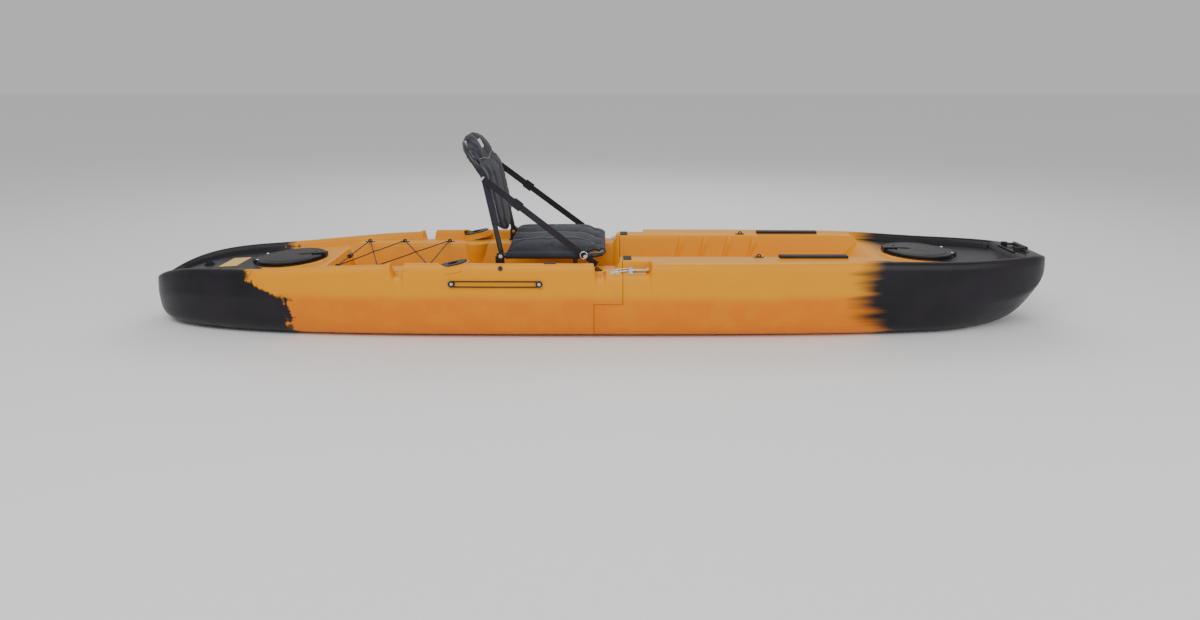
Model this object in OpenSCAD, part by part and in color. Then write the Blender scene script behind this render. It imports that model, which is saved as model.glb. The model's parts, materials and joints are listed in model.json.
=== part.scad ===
// Two-piece sit-on-top kayak hull with a folding frame seat, hatches and deck fittings.
// +X points to the bow, +Z up, and the hull stands on z = 0 with its middle at x = 0, y = 0.
// All sizes are in millimetres.

/* [Hull] */
// Length over all
hull_length = 4030; // [3400:10:4800]
// Beam over the chines
hull_beam = 806; // [720:5:960]
// Height of the gunwale amidships above the keel
gunwale_height = 330; // [300:5:400]
// Height of the chine line amidships
chine_height = 192; // [160:2:210]
// Moulded wall thickness
wall = 5; // [4:0.5:8]
// How far the top of the side leans in from the chine to the gunwale
side_lean = 14; // [8:1:24]
// Height that the bow's stem rises above the keel
stem_rise = 250; // [200:5:260]

/* [Deck] */
// Half width between the inner edges of the side decks
well_half_width = 222; // [190:2:240]
// Height of the seat ledges and the cargo ledges
ledge_height = 290; // [270:2:300]
// Height of the footwell floor
foot_floor = 100; // [80:2:120]
// Height of the seat well floor
seat_floor = 130; // [100:2:150]
// Height of the cargo well floor
cargo_floor = 150; // [130:2:180]
// How far the end decks lie below the gunwale
deck_recess = 32; // [20:1:40]
// Length of the deck behind the cargo well, from the stern
stern_deck = 790; // [760:5:900]
// Front end of the cargo well, behind the middle of the hull
cargo_front = 560; // [540:5:640]
// Length of the deck ahead of the footwell, from the bow
bow_deck = 800; // [760:5:900]
// Length of the raised platform at the bow
bow_platform = 170; // [150:5:200]

/* [Hull joint] */
// Upper joint face, ahead of the middle of the hull
joint_x = 95; // [80:5:120]
// Overlap of the stepped joint along the hull
joint_step = 120; // [80:5:160]
// Height of the step above the keel
joint_z = 163; // [140:1:180]
// Gap between the two hull pieces
joint_gap = 2; // [1:0.5:4]

/* [Hatches] */
// Clear diameter of the hatch openings
hatch_bore = 250; // [220:2:280]
// Centre of the stern hatch, from the stern
stern_hatch_at = 600; // [560:2:620]
// Centre of the bow hatch, from the bow
bow_hatch_at = 560; // [540:2:580]
// Width of the hatch rims
hatch_rim_width = 30; // [28:1:34]

/* [Seat] */
// Distance between the centres of the side tubes
seat_width = 560; // [520:5:580]
// Length of the seat from its hinge to the front tube
seat_length = 430; // [360:5:440]
// Length of the straight lower part of the backrest
back_lower = 340; // [280:5:400]
// Length of the backrest above its bend
back_upper = 150; // [140:5:180]
// Outer diameter of the frame tubes
tube_d = 22; // [19:1:25]
// Wall of the frame tubes
tube_wall = 1.6; // [1.2:0.1:2.5]
// Height of the seat's hinge above the ledge it stands on
seat_leg = 56; // [50:1:80]
// Seat hinge, behind the middle of the hull
seat_hinge_at = 420; // [400:5:450]
// How far the backrest leans back from upright, in degrees
back_lean = 11; // [5:1:20]
// How far the top of the backrest curves back beyond that, in degrees
back_curl = 24; // [0:1:30]
// Thickness of the padded base
base_pad = 31; // [20:1:40]
// Thickness of the padded backrest
back_pad = 22; // [16:1:28]

/* [Fittings] */
// Bore of the rod holders
rod_bore = 42; // [38:1:46]
// Depth of the rod holders
rod_depth = 200; // [160:5:230]
// Diameter of the elastic cord
bungee_d = 5; // [4:0.5:6]
// Length of the accessory tracks on the side decks
track_length = 290; // [200:5:340]
// Bore of the scupper drains
scupper_bore = 32; // [26:1:40]

/* [Hidden] */
$fn = 32;
half_len = hull_length / 2;
end_flat = 1;               // the loft stops this far short of each end
end_fullness = 3;           // power of the plan curve
end_bluntness = 0.4;        // root of the plan curve
sides = [-1, 1];            // starboard, port

// ---------- small helpers ----------
function clamp(v, a = 0, b = 1) = min(max(v, a), b);
function ease(u) = let (c = clamp(u)) c * c * (3 - 2 * c);
function step_up(x, a, b) = ease((x - a) / (b - a));
function mix(a, b, s) = a + (b - a) * s;

// ---------- hull lines, as functions of x ----------
function share(x) = clamp(abs(x) / (half_len * 1.0025));
function half_beam(x) = hull_beam / 2 * pow(1 - pow(share(x), end_fullness), end_bluntness);
stern_sheer = 45;           // drop of the gunwale along the stern deck
stern_tuck = 95;            // further drop at the stern's end
stern_panel = 8;            // how far the gunwale stands proud beside the seat
bow_sheer = 14;             // drop of the gunwale along the bow deck
bow_tuck = 30;              // further drop at the bow's end
function sheer(x) = let (t = share(x))
    x < 0 ? gunwale_height - stern_panel * (1 - step_up(x, panel_aft - 20, panel_aft))
            - (stern_sheer - stern_panel) * step_up(t, 0.42, 0.8) - stern_tuck * pow(t, 16)
          : gunwale_height - bow_sheer * step_up(t, 0.55, 0.8) - bow_tuck * pow(t, 40);
stern_rise = 28;            // rise of the keel towards the stern
stern_corner = 50;          // rounding of the keel into the stern's end
function keel(x) = let (t = share(x))
    x < 0 ? stern_rise * pow(t, 8) + stern_corner * pow(t, 60)
          : stem_rise * pow(t, 26);
chine_dip = 28;             // how far the chine dips towards the ends
bow_dip = 20;               // further dip before it climbs to the bow
bow_crease = 0.83;          // share of the half length where the chine starts to climb
function chine(x) = let (t = share(x), low = chine_height - chine_dip * step_up(t, 0.35, 0.8),
                         high = (keel(x) + sheer(x)) / 2)
    x < 0 ? mix(low, high, pow(t, 20))
          : mix(low - bow_dip * step_up(t, 0.6, bow_crease), high,
                pow(clamp((t - bow_crease) / (1 - bow_crease)), 1.2));
// how full the lower side is below the chine, less at the bow so that the flare shows
function fullness(x) = x < 0 ? 1 : 1 - 0.45 * step_up(share(x), 0.72, 1);

// ---------- zones of the deck along x ----------
stern_end = -half_len;
bow_end = half_len;
cargo_aft_x = stern_end + stern_deck;
cargo_front_x = -cargo_front;
foot_aft_x = joint_x - 35;
foot_front_x = bow_end - bow_deck;
platform_x = bow_end - bow_platform;
panel_aft = -880;           // where the raised gunwale beside the seat starts
ramp = 60;                  // length of a sloping end wall
toe_ramp = 200;             // length of the sloping front wall of the footwell
deck_lip = 55;              // gunwale width where the deck inside is recessed
gunwale_edge = 34;          // width of the rounded outer edge of the gunwale

function end_deck(x) = sheer(x) - deck_recess * (1 - step_up(x, platform_x, platform_x + 20));
function cargo_side(x) = step_up(x, cargo_aft_x, cargo_aft_x + ramp);
function seat_side(x) = step_up(x, cargo_front_x, cargo_front_x + ramp / 2);
function foot_side(x) = step_up(x, foot_aft_x, foot_aft_x + ramp / 2);
function bow_side(x) = step_up(x, foot_front_x, foot_front_x + toe_ramp / 4);
// height of the ledges beside the wells
function ledge(x) =
    x < cargo_aft_x + ramp ? mix(end_deck(x), ledge_height, cargo_side(x))
    : x < foot_front_x ? mix(ledge_height, sheer(x), foot_side(x))
    : mix(sheer(x), end_deck(x), bow_side(x));
// height of the well floors, or of the end decks
function floor_z(x) =
    x < cargo_front_x - 1 ? mix(end_deck(x), cargo_floor, cargo_side(x))
    : x < 0 ? mix(cargo_floor, seat_floor, seat_side(x))
    : x < foot_front_x - toe_ramp ? mix(seat_floor, foot_floor, foot_side(x))
    : mix(foot_floor, end_deck(x), step_up(x, foot_front_x - toe_ramp, foot_front_x + toe_ramp / 4));

// ---------- notches and latch recesses in the gunwale ----------
notch_width = 42;
notch_depth = 56;
notch_xs = [-845, 2];
recess_aft = joint_x - 75;
recess_front = joint_x + 117;
recess_depth = 44;
recess_width = 50;          // how far the latch recess cuts into the side deck
function notch(x, at) = notch_depth * step_up(notch_width / 2 + 10 - abs(x - at), 0, 16);
function recess(x) = recess_depth * step_up(min(x - recess_aft + 6, recess_front + 6 - x), 0, 12);
function gunwale(x) = sheer(x) - max(notch(x, notch_xs[0]), notch(x, notch_xs[1]), recess(x));
function lip(x) = mix(deck_lip, gunwale_edge + recess_width, recess(x) / recess_depth);

// ---------- cross-section at x: half outline from beside the keel's centre to beside the deck's centre ----------
// t is 0 for the outer surface, or the wall thickness for the cavity inside the shell
function around(x, t) = t == 0 ? [x] : [x - 1.5 * t, x, x + 1.5 * t];
function half_section(x, t) =
    let (near = around(x, t),
         b = min([for (q = near) half_beam(q)]) - t, k = max([for (q = near) keel(q)]) + t,
         c = chine(x), f = fullness(x), end = clamp(b / 200),
         g = max(min([for (q = near) gunwale(q)]) - t, c + 8),
         l = max(min([for (q = near) min(ledge(q), sheer(q))]) - t, k + 6),
         d = max(min([for (q = near) min(floor_z(q), ledge(q))]) - t, k + 4),
         inner = b - min(lip(x), b * 0.4), w = min(well_half_width + t, inner - 12),
         drop = clamp((ledge(x) - floor_z(x)) / 190))
    [[0.08 * b, k],
     [0.30 * b, k + 14 * (1 - pow(share(x), 4))],
     [0.50 * b * mix(1, f, 0.5), k],
     [0.80 * b * f, k],
     [0.92 * b * mix(1, f, 0.8), k + 0.2 * (c - k)],
     [0.97 * b * mix(1, f, 0.5), k + 0.5 * (c - k)],
     [b, c],
     [b - side_lean * end, g - 26 * clamp((g - c) / 60)],
     [b - (side_lean + 10) * end, g - 6 * clamp((g - c) / 60)],
     [b - gunwale_edge * end, g],
     [inner, g],
     [inner - 8, l],
     [w, l],
     [w - mix(12, 48, drop), mix(d, l, 0.14)],
     [w - mix(14, 66, drop), d]];

function ring(x, t) = let (h = half_section(x, t), n = len(h))
    [for (p = h) [x, p[0], p[1]],
     for (i = [n - 1 : -1 : 0]) [x, -h[i][0], h[i][1]]];

// ---------- stations ----------
function span(a, b, n) = [for (i = [0 : n - 1]) a + (b - a) * i / n];
function stations(a, b) = [a, for (x = cuts) if (x > a + 2 && x < b - 2) x, b];
notch_span = notch_width / 2 + 12;
end_span = 200;             // length over which the stations close up at the stern
bow_span = 60;              // and at the bow
cuts = concat(
    [for (i = [0 : 7]) stern_end + end_flat + end_span * pow(i / 8, 2)],
    span(stern_end + end_span, cargo_aft_x, 6),
    span(cargo_aft_x, cargo_aft_x + ramp, 4),
    span(cargo_aft_x + ramp, notch_xs[0] - notch_span, 2),
    span(notch_xs[0] - notch_span, notch_xs[0] + notch_span, 6),
    span(notch_xs[0] + notch_span, cargo_front_x, 2),
    span(cargo_front_x, cargo_front_x + ramp / 2, 3),
    span(cargo_front_x + ramp / 2, notch_xs[1] - notch_span, 3),
    span(notch_xs[1] - notch_span, recess_aft + 8, 6),
    span(recess_aft + 8, foot_aft_x + ramp / 2, 4),
    span(foot_aft_x + ramp / 2, recess_front - 8, 2),
    span(recess_front - 8, recess_front + 8, 3),
    span(recess_front + 8, foot_front_x - toe_ramp, 6),
    span(foot_front_x - toe_ramp, foot_front_x + toe_ramp / 4, 6),
    span(foot_front_x + toe_ramp / 4, platform_x, 7),
    span(platform_x, platform_x + 20, 2),
    span(platform_x + 20, bow_end - bow_span, 4),
    [for (i = [7 : -1 : 0]) bow_end - end_flat - bow_span * pow(i / 8, 2)]);

// triangles that fill the port half of a section, between the points of half_section
half_cap = [[0, 1, 14], [1, 2, 14], [2, 3, 14], [3, 13, 14], [3, 4, 13], [4, 12, 13], [4, 5, 12],
            [5, 6, 12], [6, 11, 12], [6, 7, 11], [7, 10, 11], [7, 8, 10], [8, 9, 10]];
// loft through the rings at the given stations, with flat ends
module loft(xs, t) {
    rings = [for (x = xs) ring(x, t)];
    m = len(rings[0]);
    n = len(xs);
    skin = [for (i = [0 : n - 2], j = [0 : m - 1])
        let (a = i * m + j, b = i * m + (j + 1) % m, c = a + m, d = b + m)
        each [[a, c, b], [b, c, d]]];
    keel_and_floor = [[0, m / 2 - 1, m / 2], [0, m / 2, m - 1]];
    aft_cap = concat(half_cap, keel_and_floor, [for (f = half_cap) [m - 1 - f[0], m - 1 - f[2], m - 1 - f[1]]]);
    fore_cap = [for (f = aft_cap) [for (j = [2 : -1 : 0]) (n - 1) * m + f[j]]];
    polyhedron(points = [for (r = rings) each r], faces = concat(skin, aft_cap, fore_cap), convexity = 10);
}

// ---------- places on the hull ----------
function deck_slope(x, r) = atan2(end_deck(x + r) - end_deck(x - r), 2 * r);
module on_deck(x, r, lift = 0) {
    translate([x, 0, (end_deck(x + r) + end_deck(x - r)) / 2]) rotate([0, -deck_slope(x, r), 0])
        translate([0, 0, lift]) children();
}
module both_sides() {
    children();
    mirror([0, 1, 0]) children();
}
module on_side(s) { mirror([0, s > 0 ? 0 : 1, 0]) children(); }
// rod of the given radius along y, from y0 to y1
module y_rod(r, y0, y1) { translate([0, y1, 0]) rotate([90, 0, 0]) cylinder(r = r, h = y1 - y0); }
// plate with round ends along x
module stadium(length, width, h) {
    for (s = sides) translate([s * (length - width) / 2, 0, 0]) cylinder(d = width, h = h);
    translate([-(length - width) / 2, -width / 2, 0]) cube([length - width, width, h]);
}

// ---------- hull ----------
hatch_x = [stern_end + stern_hatch_at, bow_end - bow_hatch_at];
hatch_d = hatch_bore + 2 * hatch_rim_width;
hatch_seat_d = hatch_d + 22;
hatch_lift = 3;             // how far the hatch seat stands above the deck
scupper_xs = [-1080, -130, 900];
scupper_y = 105;
rod_x = -615;
rod_y = 335;
rod_tilt = 12;
rod_wall = 4;
rod_flange = [120, 80, 5];  // length, width and thickness of the flange
rod_flange_z = gunwale_height - 8;
column_r = 60;              // moulded column in the well beside each rod holder
column_y = well_half_width + 28;
plate_x = stern_end + 335;
plate_size = [80, 165, 2.5];
drain_x = stern_end + 215;
drain_bore = 30;
track_x = 910;              // middle of the accessory tracks
track_y = 262;
track_width = 34;
track_h = 12;
rib_xs = [385, 500, 615, 735];
rib_lean = 50;              // how far the top of a rib leans towards the bow
rib_size = [16, 30, 175];
handle_x = bow_end - 135;
handle_foot = 14;           // half length of the deck that the carry handle stands on

// the moulded shell in one smooth skin, at its own size; what is bored into it stays truly round
module one_skin() { resize([0, 0, 0]) children(); }
module scupper_tubes(xs, extra) {
    for (x = xs) both_sides() translate([x, scupper_y, -5])
        cylinder(d = scupper_bore + 2 * extra, h = seat_floor + 60);
}
module lower_step(extra) {
    translate([joint_x - joint_step - joint_gap / 2 - extra, -hull_beam, -5])
        cube([joint_step + joint_gap + 2 * extra, 2 * hull_beam, joint_z + joint_gap / 2 + extra + 5]);
}
module upper_step(extra) {
    translate([joint_x - joint_step - wall, -hull_beam, joint_z - joint_gap / 2 - extra])
        cube([joint_step + wall + joint_gap / 2 + extra, 2 * hull_beam, gunwale_height]);
}
module rod_place(s) {
    translate([rod_x, s * rod_y, rod_flange_z]) rotate([0, -rod_tilt, 0]) children();
}

module stern_hull() color("darkorange") {
    fore = joint_x - joint_gap / 2;
    difference() {
        union() {
            one_skin() difference() {
                loft(stations(stern_end + end_flat, fore), 0);
                difference() {
                    loft(stations(stern_end + 3 * wall, fore - wall), wall);
                    lower_step(wall);
                    scupper_tubes([scupper_xs[0], scupper_xs[1]], wall);
                }
                lower_step(0);
            }
            on_deck(hatch_x[0], hatch_d / 2, hatch_lift - 14) cylinder(d = hatch_seat_d, h = 14, $fn = 64);
            on_deck(drain_x, 25, -10) cylinder(d = drain_bore + 24, h = 12);
            on_deck(plate_x, plate_size[0] / 2, -6)
                translate([-plate_size[0] / 2 - 4, -plate_size[1] / 2 - 4, 0])
                cube([plate_size[0] + 8, plate_size[1] + 8, 7]);
            for (s = sides) {
                rod_place(s) translate([0, 0, -48])
                    stadium(rod_flange[0] + 8, rod_flange[1] + 8, 48);
                translate([rod_x + 15, s * column_y, cargo_floor - wall])
                    cylinder(r = column_r, h = ledge_height - cargo_floor + wall + 4);
            }
        }
        on_deck(hatch_x[0], hatch_d / 2, -40) cylinder(d = hatch_bore, h = 60, $fn = 64);
        on_deck(drain_x, 25, -30) cylinder(d = drain_bore, h = 60);
        scupper_tubes([scupper_xs[0], scupper_xs[1]], 0);
        for (s = sides) rod_place(s) {
            stadium(rod_flange[0] + 2, rod_flange[1] + 2, 60);
            translate([0, 0, -70]) cylinder(d = rod_bore + 2 * rod_wall + 1, h = 90);
        }
    }
}
module bow_hull() color("darkorange") {
    aft = joint_x - joint_step + joint_gap / 2;
    difference() {
        union() {
            one_skin() difference() {
                loft(stations(aft, bow_end - end_flat), 0);
                difference() {
                    loft(stations(aft + wall, bow_end - 10 * wall), wall);
                    upper_step(wall);
                    scupper_tubes([scupper_xs[2]], wall);
                }
                upper_step(0);
            }
            on_deck(hatch_x[1], hatch_d / 2, hatch_lift - 14) cylinder(d = hatch_seat_d, h = 14, $fn = 64);
            both_sides() {
                translate([track_x - track_length / 2 - 6, track_y - track_width / 2 - 4, gunwale_height - 5])
                    cube([track_length + 12, track_width + 8, 6]);
                for (x = rib_xs) translate([x, well_half_width - 12, gunwale_height - 20])
                    rotate([0, atan(rib_lean / rib_size[2]), 0]) rotate([-14, 0, 0])
                    translate([-rib_size[0] / 2, -rib_size[1] / 2, -rib_size[2]]) cube(rib_size);
            }
            on_deck(handle_x, handle_foot, -8) translate([-20, -75, 0]) cube([70, 150, 10]);
        }
        on_deck(hatch_x[1], hatch_d / 2, -40) cylinder(d = hatch_bore, h = 60, $fn = 64);
        scupper_tubes([scupper_xs[2]], 0);
    }
}
foam_size = [380, 44, 130];
module foam_blocks(x) color("whitesmoke") both_sides()
    translate([x, 285, 40]) cube(foam_size);
module stern_foam_blocks() foam_blocks(-520);
module bow_foam_blocks() foam_blocks(330);

// ---------- hatches: local frame on the hatch seat, hinge towards the near end of the hull ----------
hatch_rim_h = 6;
collar_wall = 4;
collar_h = 12;
seal_w = 6;
seal_h = 3.2;
lid_gap = 0.3;
lid_plate = 6;
lid_skirt_z = hatch_rim_h + seal_h + lid_gap;
lid_top = lid_skirt_z + 10;
lid_d = hatch_d - 10;
hatch_axis = [hatch_d / 2 + 4, 14];   // hinge axis, out from the hatch's centre and up
hinge_bore = 5;
pin_play = 0.06;
knuckle_r = 6;
lid_knuckle = 60;
lug_w = 12;
lever_pivot = hatch_bore / 2 - 20;
lever_w = 34;
lever_t = 5;

module hatch_place(i) {
    on_deck(hatch_x[i], hatch_d / 2, hatch_lift) rotate([0, 0, i == 0 ? 180 : 0]) children();
}
module hatch_rim(i) color("black") hatch_place(i) difference() {
    union() {
        cylinder(d = hatch_d, h = hatch_rim_h, $fn = 64);
        cylinder(d = hatch_bore + 2 * collar_wall, h = collar_h, $fn = 64);
        for (s = sides) translate([hatch_axis[0], 0, 0]) {
            y0 = s * (lid_knuckle / 2 + 1 + lug_w / 2) - lug_w / 2;
            translate([-8, y0, 0]) cube([14, lug_w, hatch_axis[1]]);
            translate([0, 0, hatch_axis[1]]) y_rod(knuckle_r, y0, y0 + lug_w);
        }
    }
    translate([0, 0, -1]) cylinder(d = hatch_bore, h = collar_h + 2, $fn = 64);
    translate([hatch_axis[0], 0, hatch_axis[1]]) y_rod(hinge_bore / 2, -60, 60);
}
module hatch_seal(i) color("dimgray") hatch_place(i) translate([0, 0, hatch_rim_h]) difference() {
    cylinder(d = hatch_bore + 2 * collar_wall + 2 + 2 * seal_w, h = seal_h, $fn = 64);
    translate([0, 0, -1]) cylinder(d = hatch_bore + 2 * collar_wall + 2, h = seal_h + 2, $fn = 64);
}
module hatch_lid(i) color("black") hatch_place(i) difference() {
    union() {
        translate([0, 0, lid_skirt_z]) cylinder(d = lid_d, h = lid_top - lid_skirt_z, $fn = 64);
        translate([hatch_axis[0], 0, hatch_axis[1]]) y_rod(knuckle_r, -lid_knuckle / 2, lid_knuckle / 2);
        translate([lid_d / 2 - 6, -lid_knuckle / 2, hatch_axis[1] - 2])
            cube([hatch_axis[0] - lid_d / 2 + 6, lid_knuckle, 6]);
        for (s = sides) translate([-lever_pivot, 0, lid_top + 5])
            difference() {
                y0 = s * (lever_w / 2 + 1 + 3) - 3;
                union() {
                    y_rod(5, y0, y0 + 6);
                    translate([-5, y0, -6]) cube([10, 6, 6]);
                }
            }
    }
    translate([0, 0, lid_skirt_z - 1])
        cylinder(d = hatch_bore + 2 * collar_wall + 4, h = lid_top - lid_skirt_z - lid_plate + 1, $fn = 64);
    translate([hatch_axis[0], 0, hatch_axis[1]]) y_rod(hinge_bore / 2 + pin_play, -60, 60);
    translate([-lever_pivot, 0, lid_top + 5]) y_rod(2, -40, 40);
    translate([-lever_pivot + 38, 0, lid_top - 3]) stadium(60, 32, 4);
}
module hatch_pin(i) color("silver") hatch_place(i) translate([hatch_axis[0], 0, hatch_axis[1]])
    y_rod(hinge_bore / 2, -lid_knuckle / 2 - lug_w - 3, lid_knuckle / 2 + lug_w + 3);
module hatch_lever(i) color("black") hatch_place(i) {
    reach = hatch_d / 2 + 7 - lever_pivot;
    translate([-lever_pivot, 0, lid_top + 5]) {
        y_rod(2 - pin_play, -lever_w / 2 - 7, lever_w / 2 + 7);
        y_rod(4.4, -lever_w / 2, lever_w / 2);
        translate([-reach, -lever_w / 2, -lever_t / 2]) cube([reach, lever_w, lever_t]);
        translate([-reach, -lever_w / 2, -16]) cube([5.5, lever_w, 16]);
    }
}
module stern_hatch_rim() hatch_rim(0);
module stern_hatch_seal() hatch_seal(0);
module stern_hatch_lid() hatch_lid(0);
module stern_hatch_pin() hatch_pin(0);
module stern_hatch_lever() hatch_lever(0);
module bow_hatch_rim() hatch_rim(1);
module bow_hatch_seal() hatch_seal(1);
module bow_hatch_lid() hatch_lid(1);
module bow_hatch_pin() hatch_pin(1);
module bow_hatch_lever() hatch_lever(1);

// ---------- toggle latches that hold the two hull pieces together ----------
latch_y = 344;
latch_z = gunwale_height - recess_depth;
latch_pivot = [joint_x + 33, 16];     // along x, and above the recess floor
latch_pin = 2.5;
latch_crank = 12;           // from the lever's pivot to the loop's pivot
wire_r = 2;
loop_y = 19;                // half the loop's width
keeper_x = joint_x - 35;
module latch_place(s) { on_side(s) translate([0, latch_y, latch_z]) children(); }
module latch_base(s) color("silver") latch_place(s) {
    x0 = latch_pivot[0] - 16;
    translate([x0, -16, 0]) cube([80, 32, 3]);
    for (q = sides) translate([latch_pivot[0], 0, 0]) {
        y0 = q * 14.5 - 1.5;
        translate([-8, y0, 0]) cube([16, 3, latch_pivot[1]]);
        translate([0, 0, latch_pivot[1]]) y_rod(8, y0, y0 + 3);
    }
    translate([latch_pivot[0], 0, latch_pivot[1]]) y_rod(latch_pin, -16.6, 16.6);
}
module latch_keeper(s) color("silver") latch_place(s) {
    translate([keeper_x - 16, -16, 0]) cube([40, 32, 3]);
    translate([keeper_x + wire_r + 0.4, -13, 0]) cube([9, 26, 13]);
}
module latch_lever(s) color("silver") latch_place(s)
    translate([latch_pivot[0], 0, latch_pivot[1]]) difference() {
        union() {
            y_rod(5.5, -12, 12);
            translate([0, -12, -3]) cube([66, 24, 3.5]);
            translate([latch_crank, 0, 0]) y_rod(4.5, -12, 12);
            translate([60, -12, -3]) rotate([0, -14, 0]) cube([16, 24, 3.5]);
        }
        y_rod(latch_pin + pin_play, -30, 30);
        translate([latch_crank, 0, 0]) y_rod(wire_r, -30, 30);
    }
module latch_loop(s) color("silver") latch_place(s) {
    reach = latch_pivot[0] + latch_crank - keeper_x;
    tip_drop = latch_pivot[1] - 9;
    translate([latch_pivot[0] + latch_crank, 0, latch_pivot[1]]) {
        y_rod(wire_r - pin_play, -loop_y - 3, loop_y + 3);
        for (q = sides) translate([0, q * loop_y, 0]) rotate([0, -90 - atan(tip_drop / reach), 0])
            translate([0, 0, -3.4]) cylinder(r = wire_r + 0.2, h = norm([reach, tip_drop]) + 6.8);
        translate([-reach, 0, -tip_drop]) y_rod(wire_r, -loop_y - 3, loop_y + 3);
    }
}
module port_latch_base() latch_base(1);
module port_latch_keeper() latch_keeper(1);
module port_latch_lever() latch_lever(1);
module port_latch_loop() latch_loop(1);
module starboard_latch_base() latch_base(-1);
module starboard_latch_keeper() latch_keeper(-1);
module starboard_latch_lever() latch_lever(-1);
module starboard_latch_loop() latch_loop(-1);

// ---------- rod holders ----------
module rod_holder(s) color("black") rod_place(s) difference() {
    union() {
        stadium(rod_flange[0], rod_flange[1], rod_flange[2]);
        translate([0, 0, -rod_depth]) cylinder(d = rod_bore + 2 * rod_wall, h = rod_depth + 1);
    }
    translate([0, 0, -rod_depth + rod_wall]) cylinder(d = rod_bore, h = rod_depth + 20);
}
module port_rod_holder() rod_holder(1);
module starboard_rod_holder() rod_holder(-1);

// ---------- pad eyes, with rivets and elastic cords ----------
eye_pitch = 28;             // between the two rivets of a pad eye
rivet_r = 2.4;
eye_base = [44, 17, 4];
eye_r = 9;                  // radius of the eye's bow
eye_wire = 2.6;
module pad_eye() difference() {
    union() {
        stadium(eye_base[0], eye_base[1], eye_base[2]);
        translate([0, 0, eye_base[2] - 1]) rotate([90, 0, 0])
            rotate_extrude(angle = 180) translate([eye_r, 0]) circle(r = eye_wire);
    }
    for (s = sides) translate([s * eye_pitch / 2, 0, -1]) cylinder(r = rivet_r, h = 9);
}
module rivets() for (s = sides) translate([s * eye_pitch / 2, 0, 0]) {
    cylinder(r = rivet_r, h = eye_base[2]);
    translate([0, 0, eye_base[2]]) cylinder(r1 = 4.5, r2 = 3, h = 1.8);
}
cargo_eye_xs = [-1125, -955, -735];
cargo_eye_y = 257;
module at_cargo_eyes() both_sides() for (x = cargo_eye_xs) translate([x, cargo_eye_y, ledge_height]) children();
module cargo_pad_eyes() color("black") at_cargo_eyes() pad_eye();
module cargo_rivets() color("silver") at_cargo_eyes() rivets();
foot_eye_x = 681;
foot_eye_y = well_half_width + 24;
module at_foot_eyes() both_sides() translate([foot_eye_x, foot_eye_y, gunwale_height]) children();
module foot_pad_eyes() color("black") at_foot_eyes() pad_eye();
module foot_rivets() color("silver") at_foot_eyes() rivets();

// closed tube along a loop of points that never runs straight up
cord_sides = 8;
module closed_cord(path, d) {
    n = len(path);
    points = [for (i = [0 : n - 1])
        let (v = path[(i + 1) % n] - path[(i + n - 1) % n], t = v / norm(v),
             u = cross([0, 0, 1], t), a = u / norm(u), b = cross(t, a))
        for (j = [0 : cord_sides - 1])
            path[i] + d / 2 * (cos(360 * j / cord_sides) * a + sin(360 * j / cord_sides) * b)];
    skin = [for (i = [0 : n - 1], j = [0 : cord_sides - 1])
        let (a = i * cord_sides + j, b = i * cord_sides + (j + 1) % cord_sides,
             c = ((i + 1) % n) * cord_sides + j, e = ((i + 1) % n) * cord_sides + (j + 1) % cord_sides)
        each [[a, b, c], [b, e, c]]];
    polyhedron(points = points, faces = skin, convexity = 6);
}
cord_z = ledge_height + eye_base[2] + bungee_d / 2 + 0.3;
function cargo_point(i, s) = [cargo_eye_xs[i], s * cargo_eye_y, cord_z];
bungee_turns = [cargo_point(0, -1), cargo_point(0, 1), cargo_point(1, -1),
                cargo_point(2, 1), cargo_point(2, -1), cargo_point(1, 1)];
bungee_lift = [0, -1, 1, 0, -1, 1];   // which of two crossing runs lies on top
turn_reach = 8;
bungee_path = [for (i = [0 : 5])
    let (p = bungee_turns[i], q = bungee_turns[(i + 1) % 6], o = bungee_turns[(i + 5) % 6],
         u = (p - o) / norm(p - o), v = (q - p) / norm(q - p))
    each [p - u * turn_reach, p, p + v * turn_reach,
          (p + q) / 2 + [0, 0, bungee_lift[i] * (bungee_d / 2 + 0.4)]]];
module cargo_bungee() color("black") closed_cord(bungee_path, bungee_d);
lock_share = 0.36;          // where the cord lock sits on the first run
module bungee_cord_lock() color("black")
    translate(bungee_turns[0] + (bungee_turns[1] - bungee_turns[0]) * lock_share) difference() {
        y_rod(bungee_d / 2 + 7, -17, 17);
        y_rod(bungee_d / 2, -20, 20);
    }
side_eye_xs = [-616, -252];
side_eye_z = 250;
function side_y(x, z) = half_beam(x) - side_lean * (z - chine(x)) / (gunwale(x) - 26 - chine(x));
side_tilt = atan(side_lean / (gunwale_height - 26 - chine_height));
groove_h = bungee_d + 0.5;
side_disc = [28, groove_h + 4];       // diameter and height of a paddle-holder button
neck_r = side_disc[0] / 2 - bungee_d - 0.3;
module at_side_eye(x) {
    translate([x, side_y(x, side_eye_z), side_eye_z]) rotate([-90 + side_tilt, 0, 0]) children();
}
module side_pad_eyes() color("black") both_sides() for (x = side_eye_xs) at_side_eye(x) difference() {
    union() {
        cylinder(d = side_disc[0], h = 2);
        cylinder(r = neck_r, h = side_disc[1]);
        translate([0, 0, side_disc[1] - 2]) cylinder(d = side_disc[0], h = 2);
    }
    translate([0, 0, -1]) cylinder(r = rivet_r, h = side_disc[1] + 2);
}
module side_rivets() color("silver") both_sides() for (x = side_eye_xs) at_side_eye(x) {
    cylinder(r = rivet_r, h = side_disc[1]);
    translate([0, 0, side_disc[1]]) cylinder(r1 = 7, r2 = 4.5, h = 2.5);
}
loop_z = 2 + groove_h / 2;            // height of the cord above the hull's side
loop_r = neck_r + 0.2 + bungee_d / 2;
function beside_eye(x, u, w) = [x + u,
    side_y(x, side_eye_z) + loop_z * cos(side_tilt) - w * sin(side_tilt),
    side_eye_z + loop_z * sin(side_tilt) + w * cos(side_tilt)];
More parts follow.
